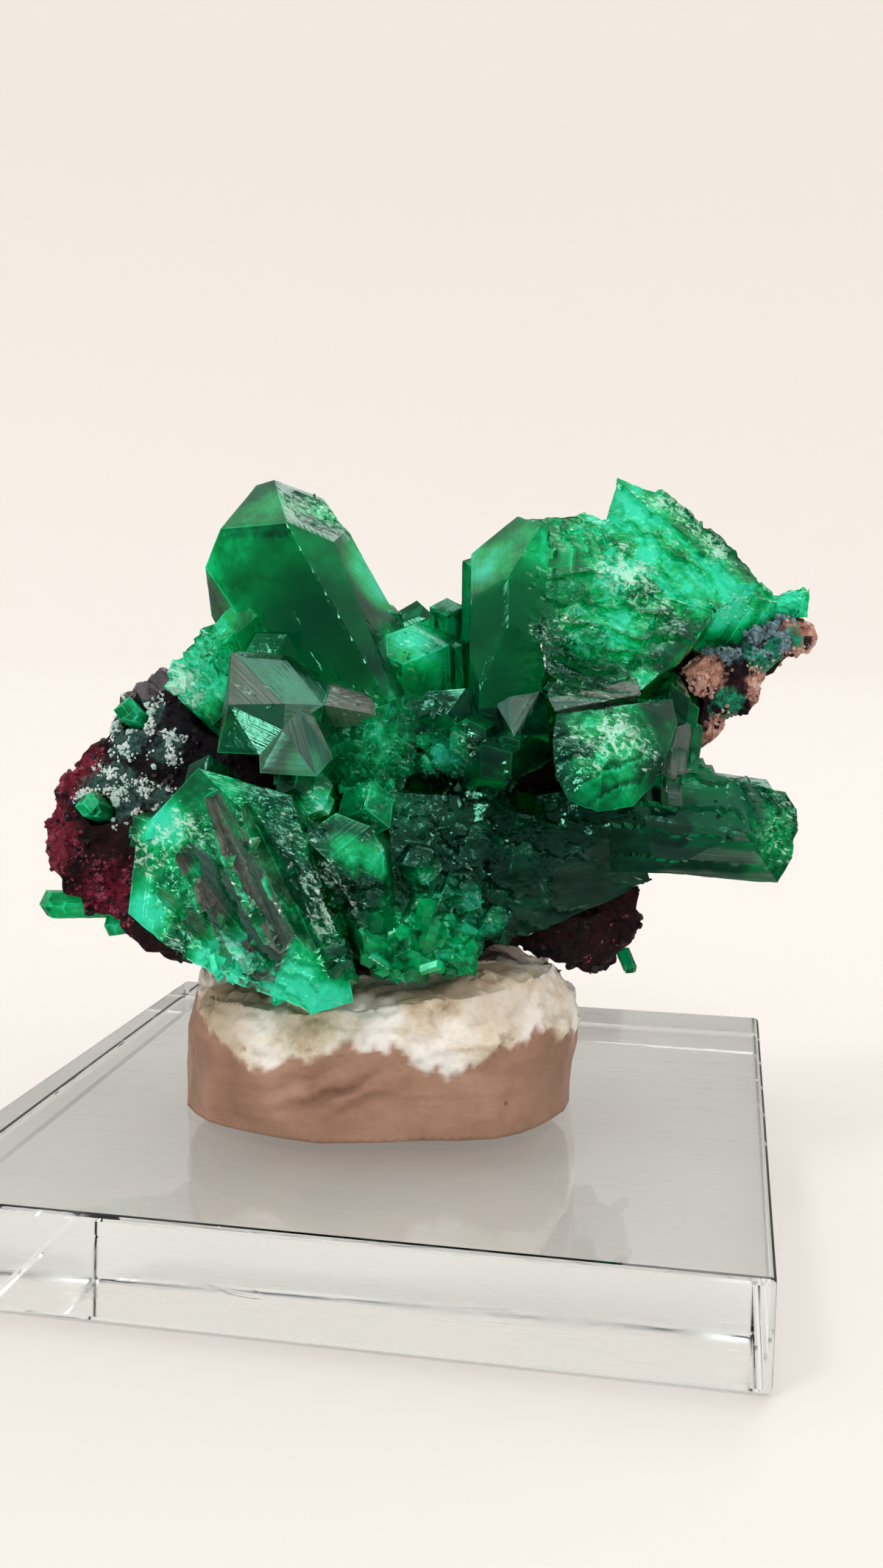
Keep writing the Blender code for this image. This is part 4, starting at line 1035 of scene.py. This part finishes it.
# What coats the ore: pale crusts, the pink tip, the dark sugary band under the upper right crystals, soot and rust.
CRUSTED = (
    Zone((-18.9, 2.3, 26.6), 2.4, 1.0),
    Zone((-19.6, 2.0, 24.6), 1.9, 0.9),
    Zone((-16.6, 1.0, 24.0), 1.6, 0.8),
    Zone((-20.4, 1.4, 20.8), 2.6, 1.0),
    Zone((-17.2, 0.4, 20.4), 1.6, 0.8),
    Zone((-22.4, 1.4, 21.0), 1.5, 0.7),
    Zone((-16.8, -1.0, 17.0), 1.4, 0.5),
)
PINK_ROCK = (
    Zone((28.6, 4.4, 32.8), 2.6, 1.0),
    Zone((20.7, 1.4, 29.6), 2.0, 1.0),
    Zone((25.6, 2.9, 28.8), 2.2, 0.85),
    Zone((22.6, 2.8, 25.4), 2.2, 0.8),
    Zone((27.2, 3.6, 30.4), 1.8, 0.8),
)
STAINED = (
    Zone((25.2, 2.9, 31.2), 1.9, 1.0),
    Zone((22.6, 2.0, 27.4), 1.7, 0.9),
    Zone((27.4, 3.8, 32.2), 1.2, 0.8),
)
SUGARY_BAND = (
    Zone((20.0, 0.0, 31.6), 2.4, 1.0),
    Zone((22.7, 2.6, 32.4), 2.4, 1.0),
    Zone((25.4, 3.4, 33.2), 2.4, 1.0),
)
SOOTY = (
    Zone((-14.6, 0.6, 24.6), 4.6, 1.0),
    Zone((-17.6, 2.2, 22.6), 2.4, 0.8),
    Zone((-14.6, -1.6, 15.0), 3.6, 0.8),
    Zone((0.0, 9.0, 20.0), 13.0, 0.6),
    Zone((23.4, 2.4, 30.6), 1.8, 0.7),
)
RUSTY = (
    Zone((-25.4, 2.4, 17.4), 3.4, 1.0),
    Zone((-23.6, 2.4, 22.6), 2.6, 0.9),
    Zone((-20.6, 1.0, 13.4), 3.4, 0.6),
    Zone((-19.0, 8.0, 18.0), 6.0, 0.6),
    Zone((16.0, 0.0, 9.0), 5.0, 0.12),
    Zone((8.0, 9.0, 15.0), 6.0, 0.5),
)
STEPPED = (
    Zone((-19.4, 2.5, 29.6), 3.0, 1.0),
    Zone((-21.8, 2.5, 27.2), 2.2, 0.6),
)
ROCK_COATS = {
    Layer.CRUST: CRUSTED, Layer.PINK: PINK_ROCK, Layer.BAND: SUGARY_BAND, Layer.SOOT: SOOTY, Layer.RUST: RUSTY,
    Layer.STAIN: STAINED,
}


@dataclass
class MatrixRock:
    """The ore: the CAD solid split fine, with knobs, pits and grains."""

    finish: MatrixFinish
    longest_mm: float = 0.6
    knob_mm: float = 1.5
    knob_height_mm: float = 0.75

    def build(self) -> None:
        """Builds the rock and what is strewn on it."""
        bm = node_copy("matrix_rock")
        refine(bm, self.longest_mm * MM)
        bm.normal_update()
        moves = []
        for vert in bm.verts:
            place = TO_SPECIMEN @ vert.co
            distances, _ = noise.voronoi(place / self.knob_mm)
            knob = 0.55 - distances[0]
            lumps = noise.fractal(place / 2.6, 0.8, 2.0, 4)
            moves.append((vert, vert.normal * (self.knob_height_mm * (0.8 * knob + 0.35 * lumps) - 0.12) * MM))
        for vert, move in moves:
            vert.co += move
        paint(bm, ROCK_COATS)
        piece_of(mesh_from(bm, "rock"), "matrix_rock_rough", self.finish.make(), "rock", "matrix_rock")
        self.strew()

    def strew(self) -> None:
        """Stands grains and crusts on the rock."""
        everywhere = (Zone((-6.0, 4.0, 20.0), 60.0, 1.0),)
        on = "matrix_rock_rough"
        for name, template, zones, count, sizes, seed, finish in (
            ("ore_grains", small_block(), everywhere, 3200, (0.25, 0.7), 21,
             GrainFinish("tenorite grains", "#08060A", "#2C101A", 0.25)),
            ("rust_grains", small_grain(), RUSTY, 2600, (0.2, 0.5), 25,
             GrainFinish("cuprite grains", "#380A18", "#AE3A5A", 0.3)),
            ("crust_grains", small_grain(), CRUSTED, 1600, (0.2, 0.46), 22,
             GrainFinish("chrysocolla crust", "#7CBCB0", "#FFFFFF", 0.4)),
            ("stepped_grains", small_block(), STEPPED, 26, (1.0, 1.7), 26,
             GrainFinish("blocky tenorite", "#1A161C", "#6E646A", 0.3)),
            ("band_grains", small_block(), SUGARY_BAND, 1300, (0.2, 0.5), 23,
             GrainFinish("azure ore grains", "#04080E", "#94BCC8", 0.2)),
            ("tip_grains", small_block(), PINK_ROCK, 260, (0.15, 0.45), 24,
             GrainFinish("feldspar grains", "#A8685C", "#F6D8C8", 0.4)),
        ):
            Strewn(name, template, on, zones, count, sizes, 0.5, seed, "rock", clump_mm=1.1).build(finish.make())


@dataclass
class Druse:
    """The small crystals that line the hollow and sit on the broken ridges and feet of the large ones."""

    finish: DioptaseFinish
    hollow: tuple[Zone, ...] = (
        Zone((0.8, -5.0, 22.6), 5.4, 1.0),
        Zone((-3.0, -5.0, 24.6), 3.0, 0.7),
        Zone((5.0, -6.0, 20.6), 4.0, 0.6),
    )

    foot: tuple[Zone, ...] = (
        Zone((-1.6, -11.2, 11.8), 3.0, 1.0),
        Zone((1.2, -11.0, 10.8), 3.2, 1.0),
        Zone((3.8, -10.0, 12.6), 2.8, 0.8),
        Zone((0.6, -10.6, 14.8), 2.4, 0.5),
    )
    rim: tuple[Zone, ...] = (
        Zone((-11.0, -11.4, 11.4), 3.0, 0.8),
        Zone((-15.4, -7.4, 18.6), 2.4, 0.8),
        Zone((-4.6, -9.0, 20.4), 2.2, 0.7),
    )

    def build(self) -> None:
        """Builds each crop of small crystals."""
        material = self.finish.make()
        for name, zones, count, sizes, seed in (
            ("hollow_druse", self.hollow, 300, (0.25, 0.7), 31),
            ("ridge_druse", SUGARY, 620, (0.15, 0.36), 32),
            ("foot_druse", self.foot, 56, (0.8, 1.6), 33),
            ("rim_druse", self.rim, 45, (0.3, 0.8), 34),
        ):
            made = Strewn(
                name, small_crystal(), "dioptase_cluster_grown", zones, count, sizes, 0.5, seed, "dioptase", 0.55, 1.4
            )
            made.build(material, {Layer.GLOW: GLOWING, Layer.CORE: DEEP_SHADE, Layer.DULL: MATT_AND_SHEEN})


# Where the pale skin of the tack is handled and tan.
HANDLED = (
    Zone((-12.0, -6.0, 6.5), 5.0, 0.9),
    Zone((5.5, -6.5, 8.5), 4.4, 0.75),
    Zone((-1.0, -8.0, 8.6), 2.2, 0.4),
    Zone((0.0, 8.0, 7.0), 7.0, 0.5),
)


@dataclass
class TackWad:
    """The wad of mineral tack: its foot smoothed by hand, its top pulled up and torn where the rock went in."""

    finish: TackFinish
    longest_mm: float = 0.5
    skirt_mm: float = 0.55

    def torn_share(self, place: Vector) -> float:
        """Returns 1 on the torn skin and 0 on the smooth foot, with a ragged border between them."""
        border = 5.9 + 0.9 * math.cos(math.tau * (place.x + 2.7) / 11.5)
        border += 1.1 * noise.fractal(Vector((place.x, place.y, 3.0)) / 1.8, 0.7, 2.2, 4)
        return min(1.0, max(0.0, (place.z - border) / 0.4 + 0.5))

    def build(self) -> None:
        """Builds the wad in place of its plain solid."""
        bm = node_copy("mineral_tack")
        refine(bm, self.longest_mm * MM)
        bm.normal_update()
        paint(bm, {Layer.STAIN: HANDLED})
        torn = bm.verts.layers.float.new(Layer.TORN.value)
        low, high = (corner[2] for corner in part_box("mineral_tack"))
        moves = []
        for vert in bm.verts:
            place = TO_SPECIMEN @ vert.co
            share = (vert.co.z - low) / (high - low)
            skin = self.torn_share(place)
            # The torn share also sets where the top is painted light and the foot painted shade.
            vert[torn] = skin
            drawn = Vector((place.x * 0.3 + place.z * 0.25, place.y * 0.3, place.z * 0.8 - place.x * 0.1))
            fold = abs(noise.noise(drawn * 0.9 + Vector((3, 1, 7))))
            crease = -0.45 * (1 - min(1.0, fold * 8))
            pleat = 0.24 * math.sin(3.4 * (place.z - 0.45 * place.x) + 3.0 * noise.noise(place / 2.0))
            near = max(0.0, 1.0 - abs(place.z - 3.8) / 2.0) * max(0.0, 1.0 - abs(place.x + 4.5) / 6.0)
            tear = noise.fractal(place / 1.5, 0.7, 2.2, 4)
            height = -self.skirt_mm * (1.0 - skin) * min(1.0, share * 4) + skin * (0.9 * crease + 0.2 * tear)
            height += (1.0 - skin) * (0.35 * crease * share + 2.0 * pleat * near)
            height -= skin * chipped(place, 3.2, 0.7)
            if vert.co.z < low + 0.3 * MM:
                height = min(height, 0.0)
            moves.append((vert, Vector((vert.normal.x, vert.normal.y, vert.normal.z * min(1.0, share * 3))) * height * MM))
        for vert, move in moves:
            vert.co += move
            vert.co.z = max(vert.co.z, low)
        for face in bm.faces:
            face.smooth = True
        piece_of(mesh_from(bm, "tack"), "kneaded_tack", self.finish.make(), "tack", "mineral_tack")


@dataclass
class DisplayBlock:
    """The clear block, with finely bevelled polished edges."""

    finish: AcrylicFinish
    edge_mm: float = 0.35

    def build(self) -> None:
        """Builds the block in place of its plain solid."""
        low, high = (Vector(corner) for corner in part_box("display_block"))
        bm = bmesh.new()
        bmesh.ops.create_cube(bm, size=1.0)
        bmesh.ops.scale(bm, vec=high - low, verts=bm.verts)
        bmesh.ops.translate(bm, vec=(low + high) / 2, verts=bm.verts)
        bmesh.ops.bevel(
            bm, geom=bm.edges[:], offset=self.edge_mm * MM, segments=3, profile=0.5, affect="EDGES", material=-1
        )
        piece_of(mesh_from(bm, "block"), "polished_block", self.finish.make(), "acrylic", "display_block")


@dataclass
class Studio:
    """A pale sweep all round, soft light from above and the camera at the photograph's angle."""

    sweep_m: float = 0.9
    wall_m: float = 0.9
    camera_mm: tuple[float, float, float] = (21.6, -101.0, 40.7)
    yaw_deg: float = 10.62
    pitch_deg: float = -6.9
    roll_deg: float = 0.89
    lens_mm: float = 34.48
    # Each lamp's name, place in metres, width in metres and power in watts.
    lamps: tuple[tuple[str, tuple[float, float, float], float, float], ...] = field(
        default=(
            ("key", (-1.2, -1.5, 2.4), 0.6, 15.0),
            ("fill", (1.9, -1.4, 2.0), 0.6, 4.0),
            ("top", (0.2, 0.4, 2.8), 1.1, 12.0),
            ("glint", (0.2, -1.3, 1.3), 0.1, 2.0),
            ("front", (-0.5, -2.1, 0.75), 0.6, 24.0),
            ("back", (0.5, 1.9, 2.0), 1.1, 10.0),
        )
    )

    def build(self) -> None:
        """Builds the sweep, the lamps, the sky and the camera."""
        self.sweep()
        for name, place, size, power in self.lamps:
            self.lamp(name, Vector(place), size, power)
        self.sky()
        bpy.context.scene.view_settings.view_transform = "Standard"
        self.camera()

    def sky(self) -> None:
        """Surrounds the stage with soft light, brighter from above and dimmer from the front."""
        world = bpy.data.worlds.new("studio")
        world.use_nodes = True
        tree = world.node_tree
        background = tree.nodes["Background"]
        background.inputs["Color"].default_value = linear("#FFFCFA")
        turned = tree.nodes.new("ShaderNodeTexCoord")
        axes = tree.nodes.new("ShaderNodeSeparateXYZ")
        level = tree.nodes.new("ShaderNodeMapRange")
        level.inputs["From Min"].default_value = -0.3
        level.inputs["From Max"].default_value = 0.9
        level.inputs["To Min"].default_value = 0.1
        level.inputs["To Max"].default_value = 0.72
        tree.links.new(turned.outputs["Generated"], axes.inputs[0])
        tree.links.new(axes.outputs["Z"], level.inputs["Value"])
        tree.links.new(level.outputs[0], background.inputs["Strength"])
        bpy.context.scene.world = world

    def sweep(self) -> None:
        """Builds the floor, which turns up into a low wall all round."""
        bm = bmesh.new()
        turn_up = [
            Vector((self.sweep_m + self.wall_m / 2 * math.sin(t), 0, self.wall_m / 2 * (1 - math.cos(t)) - FLOOR_GAP))
            for t in (math.pi / 2 * step / 12 for step in range(13))
        ]
        line = [Vector((0.0, 0, -FLOOR_GAP)), *turn_up, turn_up[-1] + Vector((0, 0, self.wall_m / 2))]
        verts = [bm.verts.new(point) for point in line]
        edges = [bm.edges.new(pair) for pair in zip(verts, verts[1:])]
        bmesh.ops.spin(
            bm, geom=verts + edges, cent=(0, 0, 0), axis=(0, 0, 1), angle=math.tau, steps=64, use_merge=True
        )
        bmesh.ops.remove_doubles(bm, verts=bm.verts, dist=1e-5)
        bmesh.ops.recalc_face_normals(bm, faces=bm.faces)
        for face in bm.faces:
            face.smooth = True
        mesh = mesh_from(bm, "pale_sweep")
        paper = Sheet("matt paper")
        # The paper glows faintly, as a lit backdrop does, so that no hard shadow lies under the clear block.
        paper.shade(
            {"Base Color": linear("#D7D3CF"), "Roughness": 0.9, "Emission Color": linear("#F8F0E8"),
             "Emission Strength": 0.24}
        )
        mesh.materials.append(paper.material)
        floor = bpy.data.objects.new("pale_sweep", mesh)
        # Polished faces mirror the dimmer sky instead, which keeps them deep in colour.
        floor.visible_glossy = False
        bpy.context.scene.collection.objects.link(floor)

    def lamp(self, name: str, place: Vector, size: float, power: float) -> None:
        """Hangs one soft lamp that points at the specimen."""
        light = bpy.data.lights.new(name, "AREA")
        light.size = size
        light.energy = power
        hung = bpy.data.objects.new(name, light)
        hung.location = place
        hung.rotation_euler = (Vector((0, 0, 0.025)) - place).to_track_quat("-Z", "Y").to_euler()
        bpy.context.scene.collection.objects.link(hung)

    def camera(self) -> None:
        """Sets the camera where the photograph was taken from, with its whole tall frame."""
        data = bpy.data.cameras.new("photo")
        data.sensor_width = SENSOR_MM
        data.lens = self.lens_mm
        data.clip_start = 0.005
        made = bpy.data.objects.new("photo", data)
        turn = (
            Matrix.Rotation(math.radians(self.yaw_deg), 4, "Z")
            @ Matrix.Rotation(math.radians(90 + self.pitch_deg), 4, "X")
            @ Matrix.Rotation(math.radians(self.roll_deg), 4, "Z")
        )
        made.matrix_world = Matrix.Translation(Vector(self.camera_mm) * MM) @ turn
        bpy.context.scene.collection.objects.link(made)
        bpy.context.scene.camera = made


def main() -> None:
    """Builds every piece, in order."""
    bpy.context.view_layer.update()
    crystal = DioptaseFinish()
    DioptaseCrystals(crystal).build()
    Druse(DioptaseFinish(name="druse dioptase")).build()
    MatrixRock(MatrixFinish()).build()
    TackWad(TackFinish()).build()
    DisplayBlock(AcrylicFinish()).build()
    Studio().build()


if __name__ == "__main__":
    main()
